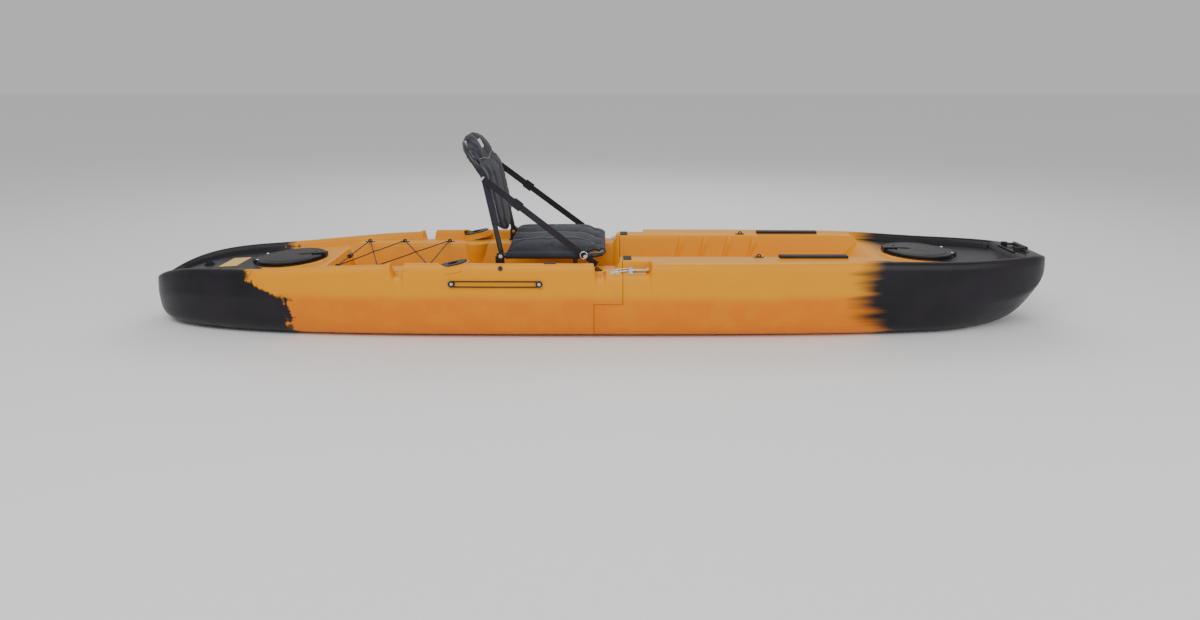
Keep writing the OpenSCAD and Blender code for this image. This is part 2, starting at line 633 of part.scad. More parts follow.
function half_loop(i) = [for (k = [0 : 8])
    let (a = (i == 0 ? 90 : -90) + 22.5 * k)
    beside_eye(side_eye_xs[i], loop_r * cos(a), loop_r * sin(a))];
// closed tube along a loop that lies in an upright plane
module closed_side_cord(path, d) {
    rotate([-90, 0, 0]) closed_cord([for (p = path) [p[0], -p[2], p[1]]], d);
}
// loop of cord round the necks of the two buttons
module paddle_bungee(s) color("black") on_side(s)
    closed_side_cord(concat(half_loop(0), half_loop(1)), bungee_d);
module port_paddle_bungee() paddle_bungee(1);
module starboard_paddle_bungee() paddle_bungee(-1);

// ---------- accessory tracks and small deck fittings ----------
track_slot = [8, 16, 5, 3.5];         // mouth width, inner width, inner height, lip thickness
track_screw_xs = [-110, 0, 110];
module gear_track(s) color("black") on_side(s)
    translate([track_x, track_y, gunwale_height + 1]) difference() {
        translate([-track_length / 2, -track_width / 2, 0]) cube([track_length, track_width, track_h]);
        translate([-track_length / 2 - 1, -track_slot[0] / 2, track_h - track_slot[3] - 1])
            cube([track_length + 2, track_slot[0], track_slot[3] + 2]);
        translate([-track_length / 2 - 1, -track_slot[1] / 2, track_h - track_slot[3] - track_slot[2]])
            cube([track_length + 2, track_slot[1], track_slot[2]]);
        for (x = track_screw_xs) translate([x, 0, -1]) cylinder(r = rivet_r, h = track_h);
    }
module port_gear_track() gear_track(1);
module starboard_gear_track() gear_track(-1);
module track_screws() color("silver") both_sides() for (x = track_screw_xs)
    translate([track_x + x, track_y, gunwale_height + 1]) {
        cylinder(r = rivet_r, h = track_h - track_slot[3] - track_slot[2]);
        translate([0, 0, track_h - track_slot[3] - track_slot[2]]) cylinder(r1 = 4.4, r2 = 2.6, h = 2);
    }
stud_x = -412;
grommet_x = -208;
module gunwale_studs() color("black") both_sides() {
    translate([stud_x, half_beam(stud_x) - side_lean - 5, gunwale_height - 16])
        rotate([-63.5, 0, 0]) difference() {
            cylinder(d = 20, h = 4);
            translate([0, 0, 1]) cylinder(d = 8, h = 4);
        }
    translate([grommet_x, half_beam(grommet_x) - (gunwale_edge + deck_lip) / 2, gunwale_height])
        stadium(52, 16, 3);
}
module rail_end_pads() color("dimgray") both_sides()
    translate([joint_x + 4, well_half_width + 10, gunwale_height]) cube([34, 62, 4]);
module reflector_plate() color("gold") on_deck(plate_x, plate_size[0] / 2, 1)
    translate([-plate_size[0] / 2, -plate_size[1] / 2, 0]) cube(plate_size);
washer_h = 1.5;
plug_play = 0.2;            // between the drain plug and its bore
module drain_plug_washer() color("dimgray") on_deck(drain_x, 25, 2) difference() {
    cylinder(d = drain_bore + 14, h = washer_h);
    translate([0, 0, -1]) cylinder(d = drain_bore + 0.6, h = washer_h + 2);
}
module drain_plug() color("black") on_deck(drain_x, 25, 2 + washer_h) {
    cylinder(d = drain_bore + 14, h = 5);
    translate([0, 0, -14]) cylinder(r = drain_bore / 2 - plug_play, h = 15);
    translate([-15, -2.5, 5]) cube([30, 5, 7]);
}
handle_half = 46;
handle_reach = 44;
handle_pin = 3;
handle_z = 11;
module handle_place() { on_deck(handle_x, handle_foot, 2) children(); }
module bow_handle_saddles() color("black") handle_place() both_sides() difference() {
    translate([-12, handle_half + 6, 0]) cube([24, 14, handle_z + 6]);
    translate([0, 0, handle_z]) y_rod(handle_pin + pin_play, 20, 90);
}
module bow_handle() color("black") handle_place() translate([0, 0, handle_z]) {
    both_sides() {
        y_rod(handle_pin, handle_half, handle_half + 19);
        translate([0, handle_half, 0]) rotate([0, 90, 0]) cylinder(r = 5, h = handle_reach);
        translate([0, handle_half, 0]) sphere(r = 5);
    }
    translate([handle_reach, 0, 0]) y_rod(9.5, -handle_half - 9, handle_half + 9);
}

// ---------- seat ----------
seat_y = seat_width / 2;
seat_z = ledge_height + seat_leg;
hinge_x = -seat_hinge_at;
tube_r = tube_d / 2;
tube_gap = 2;               // between the backrest's tubes and the base's tubes
back_y = seat_y - tube_d - tube_gap;
base_bend = 60;
back_bend = 125;
bolt_r = 4;
front_bolt_x = hinge_x + seat_length - 72;
strap_bolt_z = back_lower - 12;
foot_x = hinge_x + seat_length - 115;
cross_x = hinge_x + 90;

// tube bent into a U: legs along +x from x0, closed at x1, at y = half and -half
module u_tube(x0, x1, half, bend, r) {
    both_sides() {
        translate([x0, half, 0]) rotate([0, 90, 0]) cylinder(r = r, h = x1 - bend - x0);
        translate([x1 - bend, half - bend, 0]) rotate_extrude(angle = 90) translate([bend, 0]) circle(r = r);
    }
    translate([x1, 0, 0]) y_rod(r, bend - half, half - bend);
}
module base_tubes(r, more) {
    translate([hinge_x, 0, seat_z]) u_tube(-18 - more, seat_length, seat_y, base_bend, r);
    translate([cross_x, 0, seat_z]) y_rod(r, -seat_y, seat_y);
}
module seat_base_frame() color("black") difference() {
    base_tubes(tube_r, 0);
    base_tubes(tube_r - tube_wall, 1);
    translate([hinge_x, 0, seat_z]) y_rod(bolt_r, -seat_width, seat_width);
    translate([front_bolt_x, 0, seat_z]) y_rod(bolt_r, -seat_width, seat_width);
}
module lean_back() { translate([hinge_x, 0, seat_z]) rotate([0, -back_lean, 0]) children(); }
module curl_back() { lean_back() translate([0, 0, back_lower]) rotate([0, -back_curl, 0]) children(); }
weld = 0.25;                // how far the weld at the bend stands out from the tube
module back_tubes(r, more) {
    lean_back() both_sides() {
        translate([0, back_y, -14 - more]) cylinder(r = r, h = back_lower + 14 + more);
        translate([0, back_y, back_lower]) sphere(r = r + weld);
    }
    curl_back() rotate([0, -90, 0]) u_tube(0, back_upper, back_y, back_bend, r);
}
module seat_back_frame() color("black") difference() {
    back_tubes(tube_r, 0);
    back_tubes(tube_r - tube_wall, 1);
    lean_back() y_rod(bolt_r + pin_play, -seat_width, seat_width);
    lean_back() translate([0, 0, strap_bolt_z]) y_rod(bolt_r, -seat_width, seat_width);
}
// plate with rounded corners between x0 and x1, at each side of y = 0
module rounded_plate(x0, x1, half, r, h) {
    both_sides() for (x = [x0 + r, x1 - r]) translate([x, half - r, 0]) cylinder(r = r, h = h);
    translate([x0, r - half, 0]) cube([x1 - x0, 2 * (half - r), h]);
    translate([x0 + r, -half, 0]) cube([x1 - x0 - 2 * r, 2 * half, h]);
}
sling_gap = 0.3;
base_sling_x = [hinge_x + 46, hinge_x + seat_length + tube_r];
module seat_base_sling() color("dimgray") translate([0, 0, seat_z + tube_r + sling_gap])
    rounded_plate(base_sling_x[0], base_sling_x[1], seat_y + tube_r, 40, base_pad);
back_sling_z = 112;
module back_panel(z0, z1, r) {
    translate([tube_r + sling_gap + back_pad, 0, 0]) rotate([0, -90, 0])
        rounded_plate(z0, z1, back_y + tube_r, r, back_pad);
}
module seat_back_sling() color("dimgray") {
    lean_back() back_panel(back_sling_z, back_lower + 8, 30);
    curl_back() intersection() {
        back_panel(-90, back_upper + tube_r, back_bend);
        translate([0, -seat_width, -8]) cube([100, 2 * seat_width, back_upper + 60]);
    }
}
patch_size = [46, 76, 1.2];
module headrest_patch() color("white") curl_back()
    translate([tube_r + sling_gap + back_pad, -patch_size[1] / 2, back_upper - 66])
    cube([patch_size[2], patch_size[1], patch_size[0]]);
bracket_y = seat_y + tube_r + 1;
bracket_t = 4;
module seat_hinge_brackets() color("black") both_sides() difference() {
    union() {
        translate([hinge_x, 0, seat_z]) y_rod(16, bracket_y, bracket_y + bracket_t);
        translate([hinge_x - 22, bracket_y, ledge_height]) cube([38, bracket_t, seat_leg]);
        translate([hinge_x - 30, bracket_y, ledge_height]) cube([60, 34, bracket_t]);
    }
    translate([hinge_x, 0, seat_z]) y_rod(bolt_r, 0, seat_width);
}
module seat_hinge_bolts() color("silver") both_sides() translate([hinge_x, 0, seat_z]) {
    y_rod(bolt_r, back_y - tube_r - 3, bracket_y + bracket_t + 1);
    y_rod(8, bracket_y + bracket_t, bracket_y + bracket_t + 5);
    y_rod(7, back_y - tube_r - 5, back_y - tube_r - 0.5);
}
module seat_front_feet() color("black") both_sides() difference() {
    translate([foot_x, seat_y, ledge_height]) {
        cylinder(r = 18, h = 6);
        cylinder(r = 10, h = seat_leg - 5);
    }
    translate([foot_x - 40, seat_y, seat_z]) rotate([0, 90, 0]) cylinder(r = tube_r, h = 80);
}
ring_r = 15;
ring_wire = 2.2;
ring_y = seat_y + tube_r + 8;
module seat_front_bolts() color("silver") both_sides() translate([front_bolt_x, 0, seat_z]) {
    y_rod(bolt_r, seat_y - tube_r - 4, ring_y + 6);
    y_rod(8, ring_y + 5, ring_y + 9);
    y_rod(7, seat_y - tube_r - 5, seat_y - tube_r);
}
ring_at = [front_bolt_x - 7, ring_y, seat_z + 4.5];
module seat_rings() color("silver") both_sides() translate(ring_at) rotate([90, 0, 0])
    rotate_extrude() translate([ring_r, 0]) circle(r = ring_wire);
// flat webbing from a to b
strap_width = 28;
strap_t = 2.4;
module band(a, b, w) {
    v = b - a;
    translate(a) rotate([0, -asin(v[2] / norm(v)), atan2(v[1], v[0])])
        translate([0, -strap_t / 2, -w / 2]) cube([norm(v), strap_t, w]);
}
function lean_point(z, y) = [hinge_x - z * sin(back_lean), y, seat_z + z * cos(back_lean)];
strap_y = back_y + tube_r + 4;
strap_top = lean_point(strap_bolt_z, strap_y);
strap_dir = (ring_at - strap_top) / norm(ring_at - strap_top);
module back_strap_bolts() color("silver") both_sides() lean_back() translate([0, 0, strap_bolt_z]) {
    y_rod(bolt_r, back_y - tube_r - 3, strap_y - strap_t);
    y_rod(7, back_y - tube_r - 5, back_y - tube_r);
    y_rod(9, back_y + tube_r, strap_y - strap_t);
}
module back_strap(s) color("black") on_side(s) {
    end = ring_at - strap_dir * (ring_r + ring_wire + 0.4);
    buckle = strap_top + (end - strap_top) * 0.3;
    band(strap_top, end, strap_width);
    // ladder-lock buckle, threaded on the webbing
    band(buckle, buckle + strap_dir * 44, strap_width + 12);
    translate([0, 2, 0]) band(buckle + strap_dir * 6, buckle + strap_dir * 38, strap_width + 10);
}
module port_back_strap() back_strap(1);
module starboard_back_strap() back_strap(-1);
anchor_at = [-12, 322, ledge_height];
module seat_tie_straps() color("black") both_sides() {
    low = anchor_at + [0, 0, eye_base[2] + eye_r + 14];
    tie_dir = (low - ring_at) / norm(low - ring_at);
    band(ring_at + tie_dir * (ring_r + ring_wire + 0.4), low, 25);
}
module tie_strap_anchors() color("black") both_sides() translate(anchor_at) pad_eye();

stern_hull();
bow_hull();
stern_foam_blocks();
bow_foam_blocks();
stern_hatch_rim();
stern_hatch_seal();
stern_hatch_lid();
stern_hatch_pin();
stern_hatch_lever();
bow_hatch_rim();
bow_hatch_seal();
bow_hatch_lid();
bow_hatch_pin();
bow_hatch_lever();
port_latch_base();
port_latch_keeper();
port_latch_lever();
port_latch_loop();
starboard_latch_base();
starboard_latch_keeper();
starboard_latch_lever();
starboard_latch_loop();
port_rod_holder();
starboard_rod_holder();
cargo_pad_eyes();
cargo_rivets();
cargo_bungee();
bungee_cord_lock();
side_pad_eyes();
side_rivets();
port_paddle_bungee();
starboard_paddle_bungee();
foot_pad_eyes();
foot_rivets();
port_gear_track();
starboard_gear_track();
track_screws();
gunwale_studs();
rail_end_pads();
reflector_plate();
drain_plug();
drain_plug_washer();
bow_handle();
bow_handle_saddles();
seat_base_frame();
seat_back_frame();
seat_base_sling();
seat_back_sling();
headrest_patch();
seat_hinge_brackets();
seat_hinge_bolts();
seat_front_feet();
seat_front_bolts();
seat_rings();
back_strap_bolts();
port_back_strap();
starboard_back_strap();
seat_tie_straps();
tie_strap_anchors();
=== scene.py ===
# %% [markdown]
# A sit-on-top kayak in two latched hull sections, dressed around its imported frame.
# The frame holds what fits and moves. This lesson adds what the eye sees: moulded skins with soft
# corners, padded slings, webbing, cords, and a procedural finish for every piece.

# %% Load the frame
import json
import math

import bmesh
import bpy
import numpy as np
from mathutils import Matrix, Vector
from mathutils.bvhtree import BVHTree


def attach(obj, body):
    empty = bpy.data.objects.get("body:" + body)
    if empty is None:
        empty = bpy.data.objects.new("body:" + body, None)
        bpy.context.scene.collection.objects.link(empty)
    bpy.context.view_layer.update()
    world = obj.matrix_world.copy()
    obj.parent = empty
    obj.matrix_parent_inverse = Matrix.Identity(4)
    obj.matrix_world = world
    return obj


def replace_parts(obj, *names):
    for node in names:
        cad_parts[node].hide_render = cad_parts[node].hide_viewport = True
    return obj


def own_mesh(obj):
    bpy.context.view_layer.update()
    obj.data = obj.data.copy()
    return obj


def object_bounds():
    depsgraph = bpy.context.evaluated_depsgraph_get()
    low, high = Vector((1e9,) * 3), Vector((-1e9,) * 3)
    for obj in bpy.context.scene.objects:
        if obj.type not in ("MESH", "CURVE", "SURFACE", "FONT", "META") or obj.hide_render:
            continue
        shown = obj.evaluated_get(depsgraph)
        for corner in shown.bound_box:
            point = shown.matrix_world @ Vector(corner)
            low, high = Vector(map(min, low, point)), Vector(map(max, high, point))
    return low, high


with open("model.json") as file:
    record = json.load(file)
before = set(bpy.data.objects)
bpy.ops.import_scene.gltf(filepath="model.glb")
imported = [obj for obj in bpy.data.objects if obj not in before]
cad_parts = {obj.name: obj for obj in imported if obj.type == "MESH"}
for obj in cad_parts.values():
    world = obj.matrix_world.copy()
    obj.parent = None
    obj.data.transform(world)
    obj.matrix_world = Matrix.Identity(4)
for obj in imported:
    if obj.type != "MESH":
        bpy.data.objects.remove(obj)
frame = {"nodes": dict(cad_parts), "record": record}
cad_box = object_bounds()
nodes = frame["nodes"]

# %% [markdown]
# The camera comes first. It stands level with the middle of the boat on its starboard side, a little
# above head height of a kneeling person, and looks slightly down. A 24 mm lens this close spreads
# the two ends, which is what makes the bow and stern decks visible.

# %% Camera
def at(x, y, z):
    """A place given in millimetres, as a vector in metres."""
    return Vector((x, y, z)) / 1000


scene = bpy.context.scene
camera_data = bpy.data.cameras.new("camera")
camera_data.sensor_width = 36
camera_data.lens = 804 / 1200 * 36
camera = bpy.data.objects.new("camera", camera_data)
camera.location = at(0, -3610, 1120)
camera.rotation_euler = (math.radians(90 - 16.97), 0, 0)
camera_data.clip_end = 100
scene.collection.objects.link(camera)
scene.camera = camera

# %% [markdown]
# The studio is a pale floor, a soft white world and three large area lights. Big lights give the
# broad, soft highlights that moulded polyethylene shows; a small one would make it look like glass.

# %% Studio
def area_light(name, place, aim, size, watts):
    data = bpy.data.lights.new(name, "AREA")
    data.shape = "RECTANGLE"
    data.size, data.size_y = size
    data.energy = watts
    light = bpy.data.objects.new(name, data)
    light.location = place
    light.rotation_euler = (Vector(aim) - Vector(place)).to_track_quat("-Z", "Y").to_euler()
    scene.collection.objects.link(light)


world = bpy.data.worlds.new("studio")
scene.world = world
world.use_nodes = True
world.node_tree.nodes["Background"].inputs["Color"].default_value = (1, 1, 1, 1)
world.node_tree.nodes["Background"].inputs["Strength"].default_value = 0.55
area_light("key", (-1.5, -3.2, 4.2), (0, 0, 0.2), (5, 2.5), 130)
area_light("fill", (3.5, -3.0, 2.0), (0.6, 0, 0.2), (3, 2), 40)
area_light("back", (0.5, 3.5, 3.5), (0, 0, 0.3), (5, 2), 70)
bpy.ops.mesh.primitive_plane_add(size=60, location=(0, 0, cad_box[0][2] - 0.0005))
floor = bpy.context.object
floor.name = "floor"

# %% [markdown]
# Shader maths reads best as arithmetic. `Value` wraps a socket, so that `1 - mask * 0.5` builds its
# Math nodes, and `Shader.node` makes any other node from its type, settings and inputs.

# %% Shader helper
class Value:
    """A number or colour socket that can be used in Python expressions."""

    def __init__(self, shader, socket):
        self.shader = shader
        self.socket = socket

    def math(self, operation, *others):
        return self.shader.node("Math", {"operation": operation}, dict(enumerate((self, *others))))

    def __add__(self, other):
        return self.math("ADD", other)

    def __sub__(self, other):
        return self.math("SUBTRACT", other)

    def __mul__(self, other):
        return self.math("MULTIPLY", other)

    def __rsub__(self, other):
        return self.shader.node("Math", {"operation": "SUBTRACT"}, {0: other, 1: self})

    __radd__ = __add__
    __rmul__ = __mul__

    def ramp(self, low, high):
        """0 at low, 1 at high and smooth between them."""
        return self.shader.node("MapRange", {"interpolation_type": "SMOOTHSTEP"},
                                {"Value": self, "From Min": low, "From Max": high})


class Shader:
    """A new material with a Principled BSDF, and short ways to add nodes to it."""

    def __init__(self, name, color=(0.8, 0.8, 0.8), roughness=0.5, metallic=0.0, coat=0.0, sheen=0.0):
        self.material = bpy.data.materials.new(name)
        self.material.use_nodes = True
        self.tree = self.material.node_tree
        self.bsdf = self.tree.nodes["Principled BSDF"]
        self.material.diffuse_color = (*color, 1)
        for key, value in (("Base Color", (*color, 1)), ("Roughness", roughness),
                           ("Metallic", metallic), ("Coat Weight", coat), ("Sheen Weight", sheen)):
            self.bsdf.inputs[key].default_value = value
        self.place = self.node("TexCoord").shader_output("Object")

    def node(self, kind, settings=None, inputs=None, output=0):
        made = self.tree.nodes.new("ShaderNode" + kind)
        for key, value in (settings or {}).items():
            if key == "stops":
                self.set_stops(made.color_ramp, value)
            else:
                setattr(made, key, value)
        for key, value in (inputs or {}).items():
            self.feed(made.inputs[key], value)
        value = Value(self, made.outputs[output])
        value.shader_output = lambda name: Value(self, made.outputs[name])
        return value

    def set_stops(self, ramp, stops):
        while len(ramp.elements) < len(stops):
            ramp.elements.new(1)
        for element, (place, color) in zip(ramp.elements, stops):
            element.position = place
            element.color = (*color, 1)

    def feed(self, socket, value):
        if isinstance(value, Value):
            self.tree.links.new(value.socket, socket)
        else:
            socket.default_value = value

    def set(self, name, value):
        self.feed(self.bsdf.inputs[name], value)

    def noise(self, scale, detail=3.0, stretch=(1, 1, 1), rough=0.5):
        spot = self.node("VectorMath", {"operation": "MULTIPLY"}, {0: self.place, 1: stretch})
        return self.node("TexNoise", {}, {"Vector": spot, "Scale": scale, "Detail": detail,
                                          "Roughness": rough})

    def axes(self):
        split = self.node("SeparateXYZ", {}, {0: self.place})
        return [split.shader_output(name) for name in "XYZ"]

    def mix(self, share, a, b):
        made = self.node("Mix", {"data_type": "RGBA"}, {0: share, 6: self.color(a), 7: self.color(b)}, 2)
        return made

    def color(self, value):
        return value if isinstance(value, Value) else (*value, 1)

    def bump(self, height, strength=0.2, distance=0.001):
        made = self.node("Bump", {}, {"Height": height, "Strength": strength, "Distance": distance})
        self.set("Normal", made)


# %% [markdown]
# The hulls are rotomoulded polyethylene: one orange powder with black powder at both ends. The
# colours meet in a smeared, brushed edge. The deck keeps its orange further aft and forward than the
# sides do, so the edge's place is worked out from x, y and z, and pushed about by streaky noise.
# The orange also carries painted light: it is lighter above the chine, as if lit from above, and
# darker and redder below it, as painted shade where the hull turns under.

# %% Hull finish
def hull_finish():
    s = Shader("rotomoulded_hull", (0.95, 0.36, 0.02), 0.4)
    x, y, z = s.axes()
    brush = s.noise(7, 4, (1, 1, 3), 0.6) - 0.5
    smear = s.noise(5, 3, (0.25, 0.5, 3.2), 0.5) - 0.5
    hair = s.noise(60, 3, (1, 1, 0.12), 0.6) - 0.5
    inside = (1 - y.math("ABSOLUTE").ramp(0.27, 0.30)) * z.ramp(0.05, 0.08)
    on_deck = (z.ramp(0.262, 0.285) * (y + 0.29).ramp(-0.03, 0.03)).math("MAXIMUM", inside)
    low = 1 - z.ramp(0.16, 0.25)
    stern_edge = -1.47 + low * 0.15 + brush * 0.26 + hair * 0.12 - on_deck * 0.03
    stern = 1 - (x - stern_edge).ramp(-0.02, 0.02)
    bow_edge = 1.13 + smear * 0.42 + on_deck * (0.27 - y * 0.45)
    bow = (x - bow_edge).ramp(-0.07, 0.08)
    black = stern.math("MAXIMUM", bow)
    # Painted light and shade: the orange above the chine is lighter and the orange below it is darker and
    # redder, standing in for the shade where the hull turns under. The noise wobbles the line between them.
    band = s.noise(2.2, 2) - 0.5
    painted_light_above_chine = (z + band * 0.03).ramp(0.165, 0.215)
    orange = s.mix(painted_light_above_chine, (0.80, 0.215, 0.0), (0.84, 0.325, 0.0))
    cloudy = s.noise(14, 4) - 0.5
    orange = s.mix((cloudy + 0.5).ramp(0.35, 0.75) * 0.3, orange, (0.88, 0.36, 0.0))
    ink = s.mix(s.noise(6, 4).ramp(0.35, 0.7), (0.008, 0.007, 0.010), (0.016, 0.012, 0.018))
    s.set("Base Color", s.mix(black, orange, ink))
    s.set("Specular IOR Level", 0.28)
    scuff = s.noise(45, 6, (0.3, 1, 1), 0.7).ramp(0.45, 0.75)
    s.set("Roughness", 0.36 + scuff * 0.10 - black * 0.03 + cloudy * 0.06)
    grain = s.noise(900, 2) * 0.35 + s.noise(130, 3) * 0.65
    s.bump(grain + scuff * 0.15, 0.10, 0.0006)
    return s.material


hull_material = hull_finish()

# %% [markdown]
# The other finishes are small recipes too. Moulded black nylon has a fine pebble, powder coat has an
# orange-peel skin, stainless steel is drawn along one way, and cloth is a plain weave made of two
# crossed waves. The weave is tied to the object's own axes, so it needs no unwrapping.

# %% Other finishes
def black_plastic(name="black_nylon", tone=0.016):
    s = Shader(name, (tone, tone, tone * 1.15), 0.42)
    cloud = s.noise(18, 3)
    s.set("Base Color", s.mix(cloud.ramp(0.3, 0.7), (tone, tone, tone * 1.1),
                              (tone * 1.7, tone * 1.6, tone * 2.0)))
    s.set("Specular IOR Level", 0.35)
    s.set("Roughness", 0.38 + s.noise(40, 4) * 0.16)
    s.bump(s.noise(1400, 2), 0.12, 0.0004)
    return s.material


def powder_coat():
    s = Shader("powder_coat", (0.012, 0.012, 0.014), 0.36, 0.0, 0.25)
    worn = s.noise(35, 6, (1, 1, 1), 0.7).ramp(0.62, 0.8)
    s.set("Base Color", s.mix(worn * 0.5, (0.012, 0.012, 0.015), (0.05, 0.05, 0.055)))
    s.set("Roughness", 0.3 + s.noise(60, 3) * 0.15)
    s.bump(s.noise(700, 2), 0.15, 0.0003)
    return s.material


def steel():
    s = Shader("stainless", (0.72, 0.72, 0.74), 0.25, 1.0)
    drawn = s.noise(120, 4, (0.1, 1, 1))
    s.set("Roughness", 0.2 + drawn * 0.2)
    s.set("Base Color", s.mix(s.noise(30, 3).ramp(0.4, 0.7), (0.78, 0.78, 0.80), (0.60, 0.60, 0.62)))
    s.bump(drawn, 0.06, 0.0003)
    return s.material


def weave(s, pitch):
    """Height of a plain weave with threads this far apart."""
    x, y, z = s.axes()
    turns = 2 * math.pi / pitch
    across = (y * turns).math("SINE")
    along = ((x + z) * turns).math("SINE")
    return across * along * 0.5 + 0.5


def cloth(name, dark, light, pitch, roughness=0.75):
    s = Shader(name, dark, roughness, sheen=0.08)
    s.set("Specular IOR Level", 0.25)
    threads = weave(s, pitch)
    wear = s.noise(7, 5, (1, 1, 1), 0.6)
    mixed = s.mix(threads * 0.55 + wear.ramp(0.35, 0.75) * 0.45, dark, light)
    s.set("Base Color", mixed)
    s.set("Roughness", roughness - 0.1 + s.noise(25, 3) * 0.2)
    s.bump(threads * 0.7 + s.noise(300, 2) * 0.3, 0.35, 0.0008)
    return s.material


def plain_rubber():
    s = Shader("rubber", (0.018, 0.018, 0.018), 0.7)
    s.set("Roughness", 0.62 + s.noise(50, 3) * 0.2)
    s.bump(s.noise(500, 3), 0.15, 0.0004)
    return s.material


def foam():
    s = Shader("foam", (0.8, 0.8, 0.77), 0.85)
    beads = s.node("TexVoronoi", {}, {"Vector": s.place, "Scale": 260.0})
    s.set("Base Color", s.mix(beads.ramp(0.0, 0.6), (0.83, 0.83, 0.8), (0.68, 0.68, 0.65)))
    s.bump(beads, 0.4, 0.001)
    return s.material


def reflector():
    s = Shader("reflector", (0.95, 0.55, 0.01), 0.25, coat=0.6)
    x, y, z = s.axes()
    cells = ((x * 900).math("SINE") * (y * 900).math("SINE")).ramp(-0.4, 0.6)
    s.set("Base Color", s.mix(cells * 0.35, (0.93, 0.52, 0.01), (0.99, 0.72, 0.06)))
    s.bump(cells, 0.25, 0.0005)
    return s.material


def floor_finish():
    s = Shader("floor", (0.9, 0.9, 0.9), 0.9)
    s.set("Base Color", s.mix(s.noise(0.4, 2), (0.9, 0.9, 0.9), (0.93, 0.93, 0.93)))
    return s.material


nylon = black_plastic()
lid_plastic = black_plastic("lid_plastic", 0.014)
coated_tube = powder_coat()
stainless = steel()
sling_cloth = cloth("sling_mesh", (0.014, 0.015, 0.024), (0.042, 0.044, 0.064), 0.0042)
webbing_cloth = cloth("webbing", (0.010, 0.009, 0.012), (0.034, 0.030, 0.040), 0.0030, 0.65)
cord_cloth = cloth("cord_braid", (0.010, 0.008, 0.008), (0.05, 0.04, 0.04), 0.0022, 0.6)
thread_cloth = cloth("seam_thread", (0.22, 0.22, 0.25), (0.36, 0.36, 0.40), 0.0016, 0.6)
label_cloth = cloth("plain_label", (0.62, 0.62, 0.63), (0.80, 0.80, 0.80), 0.0014, 0.6)
rubber = plain_rubber()
floor.data.materials.append(floor_finish())
finishes = {"hull": hull_material, "black_plastic": nylon, "foam": foam(), "rubber": rubber,
            "steel": stainless, "frame": coated_tube, "cord": cord_cloth, "webbing": webbing_cloth,
            "sling": sling_cloth, "patch": label_cloth, "reflector": reflector()}
for part in frame["record"]["subparts"]:
    mesh = nodes[part["node"]].data
    mesh.materials.clear()
    mesh.materials.append(finishes[part["material_slot"]])
print("finishes:", len(bpy.data.materials))

# %% [markdown]
# Most new pieces come from rings of points joined into a skin, so that is the one mesh helper.
# A ring is a closed outline; neighbouring rings are joined by quads, and the ends are closed by fans.

# %% Mesh helpers
def mesh_piece(name, points, faces, material, body="root", slot="black_plastic", smooth=40):
    mesh = bpy.data.meshes.new(name)
    mesh.from_pydata([tuple(p) for p in points], [], faces)
    mesh.validate()
    mesh.materials.append(material)
    piece = bpy.data.objects.new(name, mesh)
    scene.collection.objects.link(piece)
    shade(piece, smooth)
    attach(piece, body)
    return piece


def shade(piece, degrees):
    """Smooth shading, with edges sharper than this many degrees kept sharp."""
    bm = bmesh.new()
    bm.from_mesh(piece.data)
    bmesh.ops.recalc_face_normals(bm, faces=bm.faces)
    limit = math.radians(degrees)
    for face in bm.faces:
        face.smooth = True
    for edge in bm.edges:
        edge.smooth = not (len(edge.link_faces) == 2 and edge.calc_face_angle(0) > limit)
    bm.to_mesh(piece.data)
    bm.free()


def skin(rings, closed=False, caps=True):
    """Points and faces for a skin over rings of equal length. closed joins the last to the first."""
    n, m = len(rings), len(rings[0])
    points = [p for ring in rings for p in ring]
    faces = []
    for i in range(n if closed else n - 1):
        for j in range(m):
            a, b = i * m + j, i * m + (j + 1) % m
            c, d = ((i + 1) % n) * m + j, ((i + 1) % n) * m + (j + 1) % m
            faces.append((a, c, d, b))
    if caps and not closed:
        for ring, order in ((0, 1), (n - 1, -1)):
            middle = sum((Vector(p) for p in rings[ring]), Vector()) / m
            points.append(tuple(middle))
            for j in range(m):
                a, b = ring * m + j, ring * m + (j + 1) % m
                faces.append((len(points) - 1, a, b) if order > 0 else (len(points) - 1, b, a))
    return points, faces


def stadium(length, width, grow=0.0, steps=12):
    """Outline of a plate with round ends along x, in the unit that it is given in."""
    r, half = width / 2 + grow, (length - width) / 2
    turns = [-math.pi / 2 + math.pi * k / steps for k in range(steps + 1)]
    right = [(half + r * math.cos(t), r * math.sin(t)) for t in turns]
    return right + [(-x, -y) for x, y in right]


def circle(radius, steps=64):
    return [(radius * math.cos(2 * math.pi * k / steps), radius * math.sin(2 * math.pi * k / steps))
            for k in range(steps)]


def rounded_box(name, size, matrix, material, radius=0.002, **kw):
    """A moulded block with rounded edges, centred on the matrix's origin."""
    bm = bmesh.new()
    bmesh.ops.create_cube(bm, size=1)
    bmesh.ops.scale(bm, vec=size, verts=bm.verts)
    bmesh.ops.bevel(bm, geom=list(bm.edges), offset=radius, segments=4, profile=0.5, affect="EDGES")
    bmesh.ops.transform(bm, matrix=matrix, verts=bm.verts)
    points = [v.co.copy() for v in bm.verts]
    faces = [[v.index for v in f.verts] for f in bm.faces]
    bm.free()
    return mesh_piece(name, points, faces, material, **kw)


